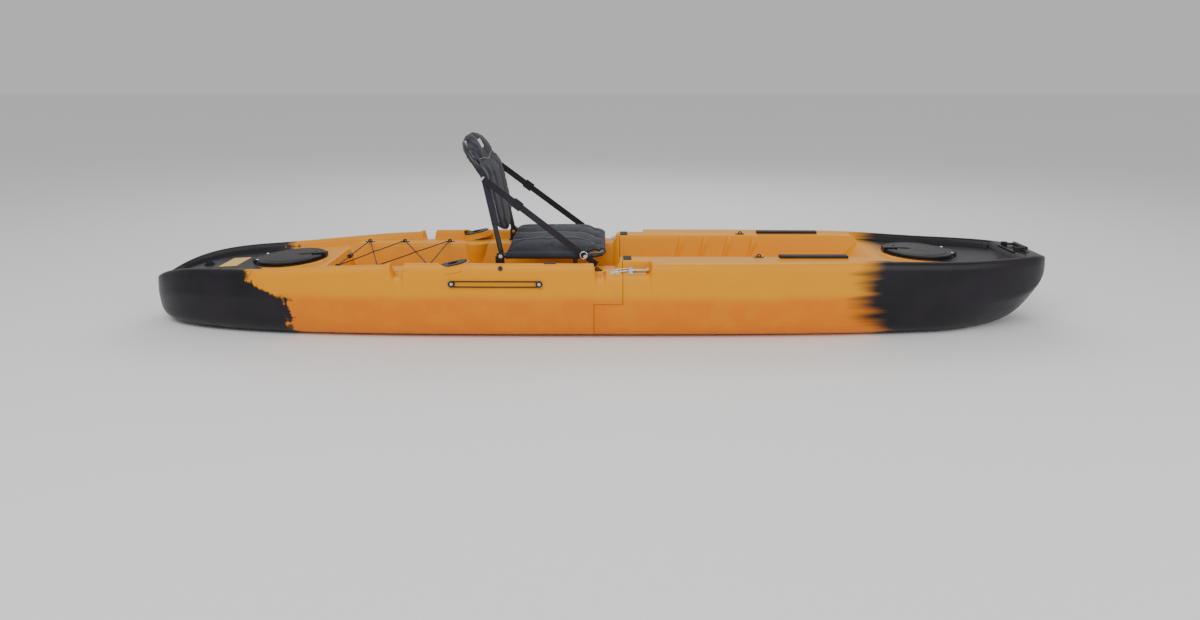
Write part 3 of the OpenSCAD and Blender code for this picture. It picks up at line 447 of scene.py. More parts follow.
def tube(name, path, radius, material, closed=False, sides=12, **kw):
    """A round cord along a path of points."""
    path = [Vector(p) for p in path]
    n = len(path)
    rings = []
    up = None
    for i, p in enumerate(path):
        ahead = path[(i + 1) % n] if closed or i < n - 1 else p
        behind = path[i - 1] if closed or i > 0 else p
        along = (ahead - behind).normalized()
        if up is None:
            up = along.orthogonal().normalized()
        up = (up - along * up.dot(along)).normalized()
        side = along.cross(up)
        r = radius(i / (n - 1)) if callable(radius) else radius
        rings.append([p + up * (r * math.cos(t)) + side * (r * math.sin(t))
                      for t in (2 * math.pi * k / sides for k in range(sides))])
    if closed:
        first, last = rings[0], rings[-1]
        turn = min(range(sides), key=lambda k: sum((last[(j + k) % sides] - first[j]).length
                                                   for j in range(sides)))
        if turn:
            share = [round(turn * i / (n - 1)) for i in range(n)]
            rings = [[ring[(j + k) % sides] for j in range(sides)] for ring, k in zip(rings, share)]
    points, faces = skin(rings, closed)
    return mesh_piece(name, points, faces, material, smooth=60, **kw)


def stack(name, outlines, matrix, material, closed=False, **kw):
    """A skin over flat outlines, given as (points in mm, height in mm), placed by the matrix."""
    rings = [[matrix @ at(x, y, z) for x, y in outline] for outline, z in outlines]
    points, faces = skin(rings, closed)
    return mesh_piece(name, points, faces, material, **kw)


def place(x, y, z):
    return Matrix.Translation(at(x, y, z))


def turn(degrees, axis):
    return Matrix.Rotation(math.radians(degrees), 4, axis)


MIRROR = Matrix.Scale(-1, 4, (0, 1, 0))
SIDES = (1, -1)


def on_side(side):
    """Leaves port alone, and mirrors what is drawn for port over to starboard."""
    return Matrix.Identity(4) if side > 0 else MIRROR


def evaluated(piece):
    return bpy.data.meshes.new_from_object(piece.evaluated_get(bpy.context.evaluated_depsgraph_get()))


def settle(piece):
    """Turn a piece's modifiers into real geometry."""
    mesh = evaluated(piece)
    piece.modifiers.clear()
    piece.data = mesh


def join(target, *others):
    """Add the other objects' meshes to the target's, and take the others out of the scene."""
    bm = bmesh.new()
    for piece in (target, *others):
        bm.from_mesh(piece.data)
    bm.to_mesh(target.data)
    bm.free()
    for piece in others:
        bpy.data.objects.remove(piece)
    return target


def cut(piece, *cutters):
    """Take the cutters' volume out of the piece. The cutters must not touch one another."""
    cutter = join(*cutters)
    boolean = piece.modifiers.new("cut", "BOOLEAN")
    boolean.operation = "DIFFERENCE"
    boolean.solver = "MANIFOLD"
    boolean.object = cutter
    settle(piece)
    bpy.data.objects.remove(cutter)


def loose(name, points, faces):
    """A mesh object that is only a step on the way to a piece."""
    mesh = bpy.data.meshes.new(name)
    mesh.from_pydata([tuple(p) for p in points], [], faces)
    bm = bmesh.new()
    bm.from_mesh(mesh)
    bmesh.ops.recalc_face_normals(bm, faces=bm.faces)
    bm.to_mesh(mesh)
    bm.free()
    piece = bpy.data.objects.new(name, mesh)
    scene.collection.objects.link(piece)
    return piece


def loose_box(low, high):
    corners = [(x, y, z) for x in (low[0], high[0]) for y in (low[1], high[1]) for z in (low[2], high[2])]
    faces = [(0, 1, 3, 2), (4, 6, 7, 5), (0, 4, 5, 1), (2, 3, 7, 6), (0, 2, 6, 4), (1, 5, 7, 3)]
    return loose("box", [at(*c) for c in corners], faces)


def loose_rod(radius, low, high, matrix, steps=64):
    rings = [[matrix @ at(x, y, z) for x, y in circle(radius, steps)] for z in (low, high)]
    return loose("rod", *skin(rings))


# %% [markdown]
# The hull's lines are functions of x, in millimetres: half beam, sheer, keel and chine. Easing steps
# join the zones of the deck. The stern and bow decks lie a little below the gunwale, and the three
# wells are sunk between side decks.

# %% Hull lines
HALF_LENGTH = 2015.0
BEAM = 806.0
GUNWALE = 330.0
CHINE = 192.0
STERN_DECK_END = -1225.0
CARGO_FRONT = -560.0
JOINT = 95.0
FOOT_AFT = 60.0
FOOT_FRONT = 1215.0
PLATFORM = 1845.0
NOTCHES = (-845.0, 2.0)
RECESS = (20.0, 212.0)
LEDGE = 290.0


def ease(u):
    c = min(max(u, 0.0), 1.0)
    return c * c * (3 - 2 * c)


def step_up(x, a, b):
    return ease((x - a) / (b - a))


def mix(a, b, s):
    return a + (b - a) * s


def share(x):
    return min(abs(x) / (HALF_LENGTH * 1.0025), 1)


def half_beam(x):
    return BEAM / 2 * (1 - share(x) ** 3) ** 0.4


def sheer(x):
    t = share(x)
    if x < 0:
        return GUNWALE - 8 * (1 - step_up(x, -900, -880)) - 37 * step_up(t, 0.42, 0.8) - 95 * t ** 16
    return GUNWALE - 14 * step_up(t, 0.55, 0.8) - 30 * t ** 40


def keel(x):
    t = share(x)
    return 28 * t ** 8 + 50 * t ** 60 if x < 0 else 250 * t ** 26


def chine(x):
    t = share(x)
    low, high = CHINE - 28 * step_up(t, 0.35, 0.8), (keel(x) + sheer(x)) / 2
    if x < 0:
        return mix(low, high, t ** 20)
    return mix(low - 20 * step_up(t, 0.6, 0.83), high, max((t - 0.83) / 0.17, 0) ** 1.2)


def fullness(x):
    return 1 if x < 0 else 1 - 0.45 * step_up(share(x), 0.72, 1)


def end_deck(x):
    return sheer(x) - 32 * (1 - step_up(x, PLATFORM, PLATFORM + 20))


def ledge(x):
    if x < STERN_DECK_END + 60:
        return mix(end_deck(x), LEDGE, step_up(x, STERN_DECK_END, STERN_DECK_END + 60))
    if x < FOOT_FRONT:
        return mix(LEDGE, sheer(x), step_up(x, FOOT_AFT, FOOT_AFT + 30))
    return mix(sheer(x), end_deck(x), step_up(x, FOOT_FRONT, FOOT_FRONT + 50))


def floor_z(x):
    if x < CARGO_FRONT - 1:
        return mix(end_deck(x), 150, step_up(x, STERN_DECK_END, STERN_DECK_END + 60))
    if x < 0:
        return mix(150, 130, step_up(x, CARGO_FRONT, CARGO_FRONT + 30))
    if x < FOOT_FRONT - 200:
        return mix(130, 100, step_up(x, FOOT_AFT, FOOT_AFT + 30))
    return mix(100, end_deck(x), step_up(x, FOOT_FRONT - 200, FOOT_FRONT + 50))


def recess(x):
    return 44 * step_up(min(x - RECESS[0] + 6, RECESS[1] + 6 - x), 0, 12)


def gunwale(x):
    notch = max(56 * step_up(31 - abs(x - n), 0, 16) for n in NOTCHES)
    return sheer(x) - max(notch, recess(x))


# %% [markdown]
# A section is half an outline, from the keel's centre up round the side and in over the deck.
# Points are complex numbers, y + z·1j, so that a corner can be rounded with plain arithmetic. A real
# moulding has no sharp corner anywhere, and those rounded corners are what catch the light.

# %% Sections and lofts
CORNER_RADII = (0, 30, 60, 30, 70, 45, 60, 15, 14, 8, 12, 12, 10, 18, 40, 34, 0)


def half_section(x, t=0.0):
    """The outer surface, or with t the cavity that far inside it, also where the deck is steep."""
    near = (x - 1.5 * t, x, x + 1.5 * t)
    b, k = min(map(half_beam, near)) - t, max(map(keel, near)) + t
    c, f = chine(x), fullness(x)
    end = min(max(b / 200, 0), 1)
    g = max(min(map(gunwale, near)) - t, c + 8)
    top = max(min(min(ledge(q), sheer(q)) for q in near) - t, k + 6)
    d = max(min(min(floor_z(q), ledge(q)) for q in near) - t, k + 4)
    lip = mix(55, 84, recess(x) / 44)
    inner = b - min(lip, b * 0.4)
    w = min(222 + t, inner - 12)
    drop = min(max((ledge(x) - floor_z(x)) / 190, 0), 1)
    return [complex(*p) for p in (
        (0, k), (0.08 * b, k), (0.30 * b, k + 14 * (1 - share(x) ** 4)), (0.50 * b * mix(1, f, 0.5), k),
        (0.80 * b * f, k), (0.92 * b * mix(1, f, 0.8), k + 0.2 * (c - k)),
        (0.97 * b * mix(1, f, 0.5), k + 0.5 * (c - k)), (b, c),
        (b - 14 * end, g - 26 * min(max((g - c) / 60, 0), 1)),
        (b - 24 * end, g - 6 * min(max((g - c) / 60, 0), 1)), (b - 34 * end, g), (inner, g),
        (inner - 8, top), (w, top), (w - mix(12, 48, drop), mix(d, top, 0.14)),
        (w - mix(14, 66, drop), d), (0, d))]


def rounded(points, steps):
    """Each corner turned into a short curve, which takes at most 45 % of the edges beside it."""
    out = [points[0]]
    for before, corner, after, radius in zip(points, points[1:], points[2:], CORNER_RADII[1:]):
        a, b = before - corner, after - corner
        a *= min(radius / max(abs(a), 1e-6), 0.45)
        b *= min(radius / max(abs(b), 1e-6), 0.45)
        for k in range(steps + 1):
            s = k / steps
            out.append(corner + a * (1 - s) ** 2 + b * s * s)
    return out + [points[-1]]


def ring(x, half, shrink=1.0):
    middle = 0.5 * (half[0].imag + half[-1].imag)
    half = [complex(p.real * shrink, middle + (p.imag - middle) * shrink) for p in half]
    return [at(x, p.real, p.imag) for p in half] + [at(x, -p.real, p.imag) for p in half[-2:0:-1]]


def loft(rings):
    """A closed mesh over the rings. Its ends are single faces, since a U-shaped end has no middle."""
    points, faces = skin(rings, caps=False)
    m = len(rings[0])
    last = (len(rings) - 1) * m
    return loose("loft", points, faces + [tuple(range(m)), tuple(range(last, last + m))])


def stations(a, b, pitch):
    """Places along x: close together near the notches, the latch recess and both ends."""
    busy = [(n - 36, n + 36) for n in NOTCHES] + [(r - 14, r + 14) for r in RECESS]
    busy += [(-2016, -1960), (1985, 2016), (CARGO_FRONT - 6, CARGO_FRONT + 36), (FOOT_AFT, FOOT_AFT + 30)]
    out = [a]
    while out[-1] < b - 0.1:
        near = any(low <= out[-1] + 0.01 <= high for low, high in busy)
        edges = [e for span in busy for e in span if out[-1] + 0.01 < e]
        out.append(min([out[-1] + (3.5 if near else pitch), b] + edges))
    if out[-1] - out[-2] < 1:
        out.pop(-2)
    return out


def outer_rings(a, b):
    """The outer surface from a to b, with a rounded nose wherever it reaches an end of the boat."""
    xs = stations(max(a, -2010), min(b, 2010), 12)
    rings = [ring(x, rounded(half_section(x), 4)) for x in xs]
    nose = [(2012.5, 0.93), (2014, 0.80), (2014.6, 0.6)]
    if a < -2010:
        rings = [ring(-x, rounded(half_section(-2012), 4), s) for x, s in reversed(nose)] + rings
    if b > 2010:
        rings += [ring(x, rounded(half_section(2012), 4), s) for x, s in nose]
    return rings


def on_deck(x, r, lift=0.0):
    """A frame lying on the end deck, tilted with it."""
    a, b = end_deck(x - r), end_deck(x + r)
    return place(x, 0, (a + b) / 2) @ turn(-math.degrees(math.atan2(b - a, 2 * r)), "Y") @ place(0, 0, lift)


# %% [markdown]
# Each hull section is an outer loft with a cavity inside it. The cavity keeps clear of the stepped
# joint and of the scupper tubes. Then the bores are cut: hatch, scuppers, drain and rod holders.
# Booleans need closed meshes, so the two skins are joined before the bores are cut.

# %% Hull sections
WALL = 5.0
HATCHES = (("stern", -1415.0), ("bow", 1455.0))
SCUPPERS = {"stern": (-1080.0, -130.0), "bow": (900.0,)}
STEP_Z = 163.0
ROD_X, ROD_Y, ROD_TILT = -615.0, 335.0, 12.0
FLANGE_POCKET = (122, 82)
HATCH_RADIUS = 155


def rod_place(side):
    return place(ROD_X, side * ROD_Y, GUNWALE - 8) @ turn(-ROD_TILT, "Y")


def hull_section(end):
    stern = end == "stern"
    a, b = (-2015, JOINT - 1) if stern else (JOINT - 119, 2015)
    body = loft(outer_rings(a, b))
    inner_span = (-1980, JOINT - 7) if stern else (JOINT - 113, 1945)
    cavity = loft([ring(x, rounded(half_section(x, WALL), 2)) for x in stations(*inner_span, 20)])
    if stern:
        cut(body, loose_box((JOINT - 121, -900, -20), (JOINT + 9, 900, STEP_Z + 1)))
        cut(cavity, loose_box((JOINT - 127, -900, -20), (JOINT + 9, 900, STEP_Z + 1 + WALL)))
    else:
        cut(body, loose_box((JOINT - 140, -900, STEP_Z - 1), (JOINT + 1, 900, 500)))
        cut(cavity, loose_box((JOINT - 140, -900, STEP_Z - 1 - WALL), (JOINT + 1 + WALL, 900, 500)))
    drains = [place(x, y, 0) for x in SCUPPERS[end] for y in (105, -105)]
    cut(cavity, *[loose_rod(22, -10, 200, spot, 32) for spot in drains])
    cavity.data.flip_normals()
    join(body, cavity)
    bores = [loose_rod(131, -60, 40, on_deck(dict(HATCHES)[end], HATCH_RADIUS))]
    bores += [loose_rod(16, -20, 220, spot, 32) for spot in drains]
    if stern:
        bores += [loose_rod(18, -40, 30, on_deck(-1800, 25), 32)]
        for spot in map(rod_place, SIDES):
            pocket = [[spot @ at(x, y, z) for x, y in stadium(*FLANGE_POCKET)] for z in (0, 60)]
            bores.append(loose("pocket", *skin(pocket)))
        bores += [loose_rod(27, -80, -0.5, rod_place(side), 32) for side in SIDES]
    cut(body, *bores)
    body.name = end + "_hull_skin"
    body.data.materials.clear()
    body.data.materials.append(hull_material)
    shade(body, 32)
    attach(body, "root")
    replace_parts(body, end + "_hull")
    return body


hull = {end: hull_section(end) for end in ("stern", "bow")}
print("hull faces:", {end: len(body.data.polygons) for end, body in hull.items()})


# %% [markdown]
# Raised seats are moulded into the hull wherever something bolts to it. Each is a flared collar: its
# foot spreads into the deck, so that the two read as one moulding, and its bore carries the wall down.

# %% Moulded seats and pads
def collar(name, end, matrix, outline, bore, flare, depth):
    """A raised seat round a bore. outline(grow) is its top edge, grown by so many millimetres."""
    rings = [(outline(flare), -depth), (outline(flare * 0.55), -depth * 0.42),
             (outline(flare * 0.25), -depth * 0.16), (outline(3), -1.6), (outline(1), -0.5),
             (outline(-1.5), 0.0), (bore(1.5), 0.0), (bore(0.4), -0.5), (bore(0), -1.6), (bore(0), -depth)]
    piece = stack(name, rings, matrix, hull_material, closed=True, slot="hull", smooth=50)
    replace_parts(piece, end + "_hull")
    return piece


def pad(name, end, size, matrix, radius=0.004):
    piece = rounded_box(name, [v / 1000 for v in size], matrix, hull_material, radius, slot="hull")
    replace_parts(piece, end + "_hull")
    return piece


for end, x in HATCHES:
    collar(end + "_hatch_seat", end, on_deck(x, HATCH_RADIUS, 3), lambda grow: circle(166 + grow, 96),
           lambda grow: circle(125 + grow, 96), 22, 17)
for side, word in zip(SIDES, ("port", "starboard")):
    collar(word + "_rod_seat", "stern", rod_place(side), lambda grow: stadium(128, 88, grow, 24),
           lambda grow: stadium(51, 51, grow, 24), 10, 26)
    foot = [(54, 300), (58, 298), (61, 292), (62, 240), (64, 180), (72, 156), (84, 146)]
    column = [(circle(r, 64), z - 8) for r, z in reversed(foot)]
    column += [(circle(r, 64), 292.5) for r in (40, 1)]
    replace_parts(stack(word + "_column", column, place(ROD_X + 15, side * 250, 0), hull_material,
                      slot="hull", smooth=50), "stern_hull")
    pad(word + "_track_pad", "bow", (304, 44, 14), place(910, side * 262, 324.5), 0.004)
collar("drain_seat", "stern", on_deck(-1800, 25, 2), lambda grow: circle(27 + grow, 48),
       lambda grow: circle(15, 48), 7, 10)
pad("reflector_pad", "stern", (90, 175, 9), on_deck(-1680, 40) @ place(0, 0, -3.4))
pad("handle_pad", "bow", (72, 152, 12), on_deck(1880, 14) @ place(15, 0, -4))

# %% [markdown]
# The footwell walls are moulded in steps that the feet push against. Each step is a wedge: it
# thickens towards the bow, ends in a face that looks aft, and leans forward at the top.

# %% Foot steps
STEPS = (385, 500, 615, 735)


def foot_step(name, side, x):
    profile = [(-62, 0), (-30, 5), (-6, 13), (4, 17), (9, 16), (12, 11), (13, 0), (13, -14), (-62, -14)]
    rings = []
    for k in range(9):
        up = k / 8
        z = mix(150, 322, up)
        y = mix(196, 224, up)
        lean = mix(-34, 14, up)
        fade = 1 - max(0.0, up - 0.86) * 3.5 - max(0.0, 0.12 - up) * 4
        rings.append([on_side(side) @ at(x + lean - u, y - v * fade, z) for u, v in profile])
    points, faces = skin(rings)
    piece = mesh_piece(name, points, faces, hull_material, slot="hull", smooth=50)
    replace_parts(piece, "bow_hull")


for side, word in zip(SIDES, ("port", "starboard")):
    for i, x in enumerate(STEPS):
        foot_step(f"{word}_foot_step_{i + 1}", side, x)

# %% [markdown]
# The hatch lids are moulded discs. A revolved profile gives the rounded rim, the groove inside it and
# a slight crown; a finger pocket is sunk beside the lever. Underneath, a skirt reaches the seal.

# %% Hatch lids
def hatch_place(end, x):
    return on_deck(x, HATCH_RADIUS, 3) @ turn(180 if end == "stern" else 0, "Z")


LID_PROFILE = ((150, 9.6), (150.4, 13), (150, 16.5), (148.5, 18.7), (146, 19.6), (136, 19.9),
               (134, 19.6), (133, 18.4), (128, 18.2), (127, 19.4), (125, 20.3), (110, 20.9), (70, 21.7),
               (30, 22.1), (1, 22.2), (1, 13.6), (129, 13.5), (131, 9.5))
for end, x in HATCHES:
    local = hatch_place(end, x)
    lid = stack(end + "_lid_disc", [(circle(r, 128), z) for r, z in LID_PROFILE], local, lid_plastic,
                closed=True, body=end + "_lid")
    dish = [(stadium(58, 30, -3), 16.2), (stadium(58, 30, -1), 17.2), (stadium(58, 30, 1.5), 20.5),
            (stadium(58, 30, 3), 24)]
    dish_rings = [[local @ at(px - 62, py, z) for px, py in outline] for outline, z in dish]
    cut(lid, loose("dish", *skin(dish_rings)))
    shade(lid, 35)
    block = rounded_box(end + "_lid_knuckle", (0.013, 0.0598, 0.0125), local @ place(158.6, 0, 13.4),
                        lid_plastic, 0.005, body=end + "_lid")
    web = rounded_box(end + "_lid_web", (0.030, 0.052, 0.006), local @ place(146, 0, 15.5), lid_plastic,
                      0.002, body=end + "_lid")
    ears = [rounded_box(f"{end}_lid_ear_{word}", (0.013, 0.006, 0.013), local @ place(-105, q * 21, 24),
                        lid_plastic, 0.0026, body=end + "_lid") for q, word in ((1, "a"), (-1, "b"))]
    for piece in (lid, block, web, *ears):
        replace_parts(piece, end + "_hatch_lid")
    for q in SIDES:
        head = [(circle(1, 24), 0), (circle(6.5, 24), 0), (circle(6.5, 24), 1.2), (circle(5.5, 24), 2.8),
                (circle(3, 24), 3.8), (circle(0.2, 24), 4.0)]
        stack(f"{end}_hinge_bolt_{'a' if q > 0 else 'b'}", head, local @ place(136, q * 62, 19.2), stainless,
              slot="steel", body=end + "_lid")

# %% [markdown]
# The elastic cord is laced side to side across the cargo well through its eyes. It is held at every
# turn, so it is a drawn line and not a hanging one. Where two runs cross, one rides over the other.

# %% Laced cords
CORD_Z = 290 + 4 + 2.5 + 0.3
LACING = ((-1125, -1), (-1125, 1), (-955, -1), (-735, 1), (-735, -1), (-955, 1))
LIFT = (0, -1, 1, 0, -1, 1)


def lacing():
    turns = [Vector((x, s * 257, CORD_Z)) for x, s in LACING]
    path = []
    for i, p in enumerate(turns):
        q, o = turns[(i + 1) % 6], turns[i - 1]
        u, v = (p - o).normalized(), (q - p).normalized()
        for k in range(7):
            s = k / 6
            path.append(p - u * 8 * (1 - s) ** 2 + v * 8 * s * s)
        for k in range(1, 12):
            s = mix(0.03, 0.97, k / 12)
            rise = math.exp(-((s - 0.5) * (q - p).length / 22) ** 2) * LIFT[i] * 2.9
            path.append(p.lerp(q, s) + Vector((0, 0, rise)))
    return [p / 1000 for p in path]


bungee = tube("laced_bungee", lacing(), 0.0025, cord_cloth, closed=True, slot="cord", sides=12)
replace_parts(bungee, "cargo_bungee")

SIDE_EYES = (-616.0, -252.0)
EYE_Z = 250.0


def side_y(x, z):
    return half_beam(x) - 14 * (z - chine(x)) / (gunwale(x) - 26 - chine(x))


def paddle_cord(side):
    """Round the neck of one button, along the hull's side, round the other and back."""
    tilt = math.atan(14 / (GUNWALE - 26 - CHINE))
    out, radius = 2 + 2.75, 14 - 5 - 0.3 + 0.2 + 2.5

    def beside(x, u, w):
        return (x + u, side_y(x, EYE_Z) + out * math.cos(tilt) - w * math.sin(tilt),
                EYE_Z + out * math.sin(tilt) + w * math.cos(tilt))
    path = []
    for x, other, start in zip(SIDE_EYES, reversed(SIDE_EYES), (90, -90)):
        for k in range(17):
            a = math.radians(start + 11.25 * k)
            path.append(beside(x, radius * math.cos(a), radius * math.sin(a)))
        w = -radius if start > 0 else radius
        path += [beside(mix(x, other, k / 24), 0, w) for k in range(1, 24)]
    return [on_side(side) @ at(*p) for p in path]


for side, word in zip(SIDES, ("port", "starboard")):
    cord = tube(word + "_paddle_cord", paddle_cord(side), 0.0025, cord_cloth, closed=True, slot="cord",
                sides=12)
    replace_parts(cord, word + "_paddle_bungee")

# %% [markdown]
# The seat is a tube frame with sewn slings. Each sling is lofted as a slack closed form, then a short
# cloth simulation lets it settle: pressure fills it, the sewn lines are pinned, and the spare cloth
# between them puckers. The simulation starts from the same mesh every time, so it always ends the same.

# %% Cloth
def hit_on(tree, start, aim):
    """Where a ray from this place meets the surface, if it does within 300 mm."""
    return tree.ray_cast(start, aim.normalized(), 0.3)[0]


def surface(piece):
    bm = bmesh.new()
    bm.from_mesh(piece.data)
    tree = BVHTree.FromBMesh(bm)
    bm.free()
    return tree


def settle_cloth(piece, pinned, pressure, spare, limit, frames=16):
    """Simulates the piece with its pinned points held, and keeps each point within limit of its start."""
    start = [v.co.copy() for v in piece.data.vertices]
    group = piece.vertex_groups.new(name="sewn")
    for i, point in enumerate(start):
        group.add([i], pinned(point), "REPLACE")
    cloth = piece.modifiers.new("cloth", "CLOTH")
    cloth.settings.quality = 6
    cloth.settings.mass = 0.35
    cloth.settings.tension_stiffness = cloth.settings.compression_stiffness = 18
    cloth.settings.bending_stiffness = 0.6
    cloth.settings.vertex_group_mass = "sewn"
    cloth.settings.use_pressure = True
    cloth.settings.uniform_pressure_force = pressure
    cloth.settings.shrink_min = -spare
    cloth.settings.effector_weights.gravity = 0
    for frame_number in range(1, frames + 1):
        scene.frame_set(frame_number)
        bpy.context.view_layer.update()
    mesh = evaluated(piece)
    scene.frame_set(1)
    piece.modifiers.clear()
    moved = [v.co.copy() for v in mesh.vertices]
    bpy.data.meshes.remove(mesh)
    for vertex, a, b in zip(piece.data.vertices, start, moved):
        step = b - a
        vertex.co = a + step * min(1, limit / max(step.length, 1e-9))
    piece.data.update()


def bell(x, middle, width):
    return math.exp(-((x - middle) / width) ** 2)


# %% [markdown]
# The base is one padded panel laid on its tubes. Its aft end is round, its front falls over the front
# tube, and its front corners are cut away where the frame bends. Three sewn lines run along it. Plain
# sleeves wrap the tubes below.

# %% Seat base
SEAT_Z = 346.0
HINGE_X = -420.0
TUBE_Y = 280.0
FRONT_X = HINGE_X + 430
SEAMS_Y = (-150.0, 0.0, 150.0)


def base_half_width(x):
    """Half the panel's width. Its front corners are cut away where the frame bends."""
    return 280 - 66 * step_up(x, -64, -14) - 12 * step_up(-x, 372, 392)


def base_section(x):
    w = base_half_width(x)
    aft = math.sqrt(max(1 - max((-376 - x) / 18, 0) ** 2, 0.02))
    fore = math.sqrt(max(1 - max((x - 8) / 17, 0) ** 2, 0.02))
    fall = step_up(x, -90, 8)
    top = mix(357 + 29 * aft, 359, fall)
    low = mix(354, 333, step_up(x, -16, 6))
    middle = 0.5 * (top + low)
    half = (top - low) / 2 * min(aft, fore)
    lower, upper = middle - half, middle + half
    edge = mix(360, middle + 0.6 * half, fall)
    out = []
    for k in range(21):
        y = w * math.sin(math.pi / 2 * k / 20)
        out.append((y, upper + (min(edge, upper) - upper) * (y / w) ** 4))
    for k in range(20, -1, -1):
        y = w * math.sin(math.pi / 2 * k / 20) * 0.995
        out.append((y, lower))
    return [at(x, y, z) for y, z in out] + [at(x, -y, z) for y, z in out[-2:0:-1]]


base_xs = [-394, -392, -389, -385] + [-380 + 7.5 * k for k in range(52)] + [12, 16, 20, 23, 24.5]
base_pad = mesh_piece("base_pad", *skin([base_section(x) for x in base_xs]), sling_cloth, slot="sling",
                      smooth=70)


def base_sewn(p):
    x, y, z = p.x * 1000, abs(p.y * 1000), p.z * 1000
    edge = max(1 - abs(base_half_width(x) - y) / 14, 0)
    ends = max(1 - (x + 396) / 16, 0) + max((x + 6) / 14, 0)
    seam = max(bell(y, abs(s), 5) for s in SEAMS_Y) * 0.9
    under = 1.0 if z < 357 else 0.0
    return min(max(edge, ends, seam, under), 1)


settle_cloth(base_pad, base_sewn, 6.0, 0.035, 0.009)
shade(base_pad, 70)
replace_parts(base_pad, "seat_base_sling")
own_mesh(base_pad)


def threads(name, tree, starts, aim, radius, material, slot, **kw):
    """A line of piping or stitching laid on a surface, found by rays from the given points."""
    path = []
    for start in starts:
        hit = hit_on(tree, start, aim)
        if hit is not None:
            path.append(hit - aim.normalized() * radius * 0.35)
    return tube(name, path, radius, material, sides=8, slot=slot, **kw)


base_tree = surface(base_pad)
DOWN = Vector((0, 0, -1))
for i, (y, bow) in enumerate(zip(SEAMS_Y, (26, 8, -26))):
    line = [at(x, y + bow * math.cos((x + 190) / 190 * math.pi / 2), 450) for x in range(-386, 8, 6)]
    seam = threads(f"base_seam_{i + 1}", base_tree, line, DOWN, 0.0011, thread_cloth, "sling")
    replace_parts(seam, "seat_base_sling")
    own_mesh(seam)


def sleeve(name, path, radius, ends, body, node):
    """Cloth sewn round a tube. It gathers a little along its length, and its hems stand proud."""
    n = len(path) - 1

    def girth(s):
        gather = 0.35 * math.sin(s * n * 1.9) + 0.25 * math.sin(s * n * 0.83 + 1)
        hem = 1.2 * (bell(s, ends[0], 0.012) + bell(s, ends[1], 0.012))
        return (radius + gather + hem) / 1000
    piece = tube(name, path, girth, sling_cloth, sides=28, body=body, slot="sling")
    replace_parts(piece, node)
    return piece


for side, word in zip(SIDES, ("port", "starboard")):
    path = [on_side(side) @ at(x, TUBE_Y, SEAT_Z) for x in range(-398, -50, 6)]
    sleeve(word + "_base_sleeve", path, 14.2, (0.01, 0.99), "root", "seat_base_sling")
sleeve("front_base_sleeve", [at(FRONT_X, y, SEAT_Z) for y in range(-204, 205, 6)], 14.2, (0.01, 0.99), "root",
       "seat_base_sling")

# %% [markdown]
# The backrest's sling wraps its side tubes, and its top is a padded roll that curls backwards over the
# frame. Between the roll and the side sleeves the cloth is cut away, so a little of the tube shows.
# The lower edge comes to a shallow point between the hinges.

# %% Backrest
LEAN = place(HINGE_X, 0, SEAT_Z) @ turn(-11, "Y")
BEND_AT, BEND, BACK_Y = 340.0, 24.0, 256.0
TOP_S, ROLL_S = 490.0, 418.0


def spine(s):
    """The frame of the backrest's tubes at a length s up from the hinge: X forward, Z along."""
    reach = 60 * math.tan(math.radians(BEND / 2))
    t = min(max((s - BEND_AT + reach) / (2 * reach), 0), 1)
    if t == 0:
        return LEAN @ place(0, 0, s)
    over = max(s - BEND_AT - reach, 0)
    return (LEAN @ place(-60, 0, BEND_AT - reach) @ turn(-BEND * t, "Y") @ place(60, 0, over))


def back_half_width(s):
    top = BACK_Y - 125 + math.sqrt(max(125 ** 2 - max(s - (TOP_S - 125), 0) ** 2, 0))
    point = mix(16, BACK_Y, min(max((s - 62) / 66, 0), 1) ** 0.8)
    notch = 40 * max(step_up(s, 376, 388) - step_up(s, 398, 414), 0)
    return min(top, point) - notch


def back_section(s):
    w = back_half_width(s)
    roll = step_up(s, 396, ROLL_S)
    held = step_up(w, BACK_Y - 46, BACK_Y - 8) if s < 400 else 1.0
    rim = mix(6, 15.4, held)
    cap = math.sqrt(max(1 - (max(s - TOP_S, 0) / 16.5) ** 2, 0.03))
    foot = math.sqrt(max(1 - (max(66 - s, 0) / 6) ** 2, 0.05))
    front, back = mix(17, 29, roll), mix(3, -15.5, roll)
    middle = mix(10, 2, held) * (1 - roll)
    shape = []
    for k in range(23):
        u = math.sin(math.pi / 2 * k / 22)
        shape.append((front + (middle + rim * 0.9 - front) * u ** 5, w * u))
    for k in range(1, 12):
        a = math.radians(25 + 130 * k / 12)
        bulge = math.sin(a) - 0.5 * math.sin(math.radians(25))
        shape.append((middle + rim * math.cos(a), w + rim * bulge))
    for k in range(22, -1, -1):
        u = math.sin(math.pi / 2 * k / 22)
        shape.append((back + (middle - rim * 0.9 - back) * u ** 7, w * u))
    centre = (front + back) / 2
    shape = [(centre + (n - centre) * min(cap, foot), y) for n, y in shape]
    frame_at = spine(s)
    return [frame_at @ at(n, y, 0) for n, y in shape] + [frame_at @ at(n, -y, 0) for n, y in shape[-2:0:-1]]


back_ss = [60, 61.5, 64, 67, 71] + [76 + 6 * k for k in range(69)] + [489, 494, 498, 501, 504, 505.8]
back_pad = mesh_piece("back_pad", *skin([back_section(s) for s in back_ss]), sling_cloth, body="seat_back",
                      slot="sling", smooth=70)
SPINE_INV = LEAN.inverted()


def along_back(p):
    """Length up the backrest of a point, near enough for choosing what is sewn."""
    q = SPINE_INV @ p
    s = q.z * 1000
    return s if s < BEND_AT else BEND_AT + (s - BEND_AT) / math.cos(math.radians(BEND))


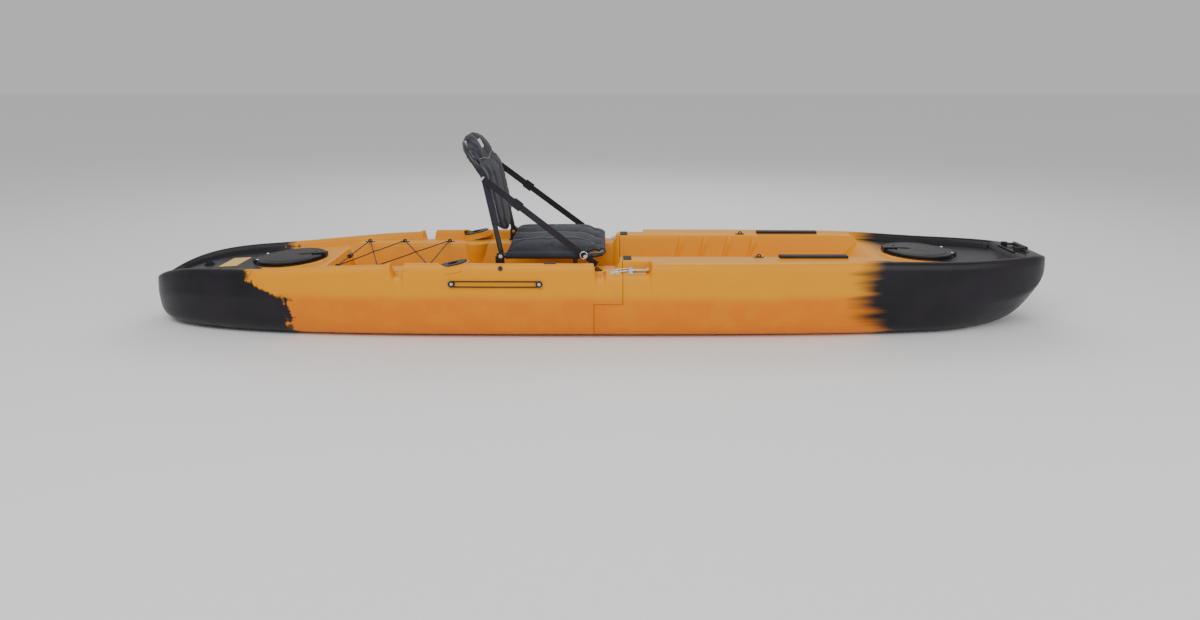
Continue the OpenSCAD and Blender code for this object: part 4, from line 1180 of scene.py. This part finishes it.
def back_sewn(p):
    s, y = along_back(p), abs(p.y * 1000)
    w = back_half_width(min(max(s, 60), 505))
    sleeve_seam = 1.0 if y > w - 14 and s < 380 else bell(y, w - 18, 5)
    hem = max(1 - (s - 60) / 14, 0) + (1.0 if 376 < s < 412 and y > w - 20 else 0)
    under_roll = bell(s, 392 + 12 * (y / BACK_Y) ** 2, 5)
    channel = 0.75 * bell(y, 92, 5) * step_up(400 - s, 0, 20)
    return min(max(sleeve_seam, hem, under_roll, channel), 1)


settle_cloth(back_pad, back_sewn, 6.0, 0.04, 0.009)
shade(back_pad, 70)
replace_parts(back_pad, "seat_back_sling")

back_tree = surface(back_pad)


def off_back(s, y):
    """A point well in front of the backrest, and the way back to it."""
    m = spine(s)
    return m @ at(120, y, 0), (m.to_3x3() @ Vector((-1, 0, 0)))


def back_thread(name, spots, radius=0.0011, material=thread_cloth):
    path = []
    for s, y in spots:
        start, aim = off_back(s, y)
        hit = hit_on(back_tree, start, aim)
        if hit is not None:
            path.append(hit - aim * radius * 0.3)
    piece = tube(name, path, radius, material, sides=8, body="seat_back", slot="sling")
    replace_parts(piece, "seat_back_sling")
    return piece


roll_line = [(392 + 14 * (y / 215) ** 2 - 10 * bell(y, 0, 60), y) for y in range(-214, 215, 7)]
back_thread("roll_seam", roll_line, 0.0014)
for side, word in zip(SIDES, ("port", "starboard")):
    back_thread(word + "_sleeve_seam", [(s, side * 238) for s in range(134, 374, 6)], 0.0014)
    back_thread(word + "_back_channel", [(s, side * 92) for s in range(96, 384, 6)], 0.0008, sling_cloth)


def label(name, s0, y_half, height):
    """A plain sewn label that follows the roll."""
    rows = [[], []]
    count = 12
    for lift, row in zip((0.0011, -0.001), rows):
        for i in range(count + 1):
            for j in range(count + 1):
                start, aim = off_back(mix(s0, s0 + height, i / count), mix(-y_half, y_half, j / count))
                row.append(hit_on(back_tree, start, aim) - aim * lift)
    n = count + 1
    faces = []
    for layer in (0, 1):
        for i in range(count):
            for j in range(count):
                a = layer * n * n + i * n + j
                faces.append((a, a + 1, a + n + 1, a + n))
    rim = ([j for j in range(n)] + [i * n + count for i in range(1, n)]
           + [count * n + j for j in range(count - 1, -1, -1)] + [i * n for i in range(count - 1, 0, -1)])
    for a, b in zip(rim, rim[1:] + rim[:1]):
        faces.append((a, b, b + n * n, a + n * n))
    piece = mesh_piece(name, rows[0] + rows[1], faces, label_cloth, body="seat_back", slot="patch", smooth=50)
    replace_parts(piece, "headrest_patch")


label("plain_label_patch", 434, 40, 40)
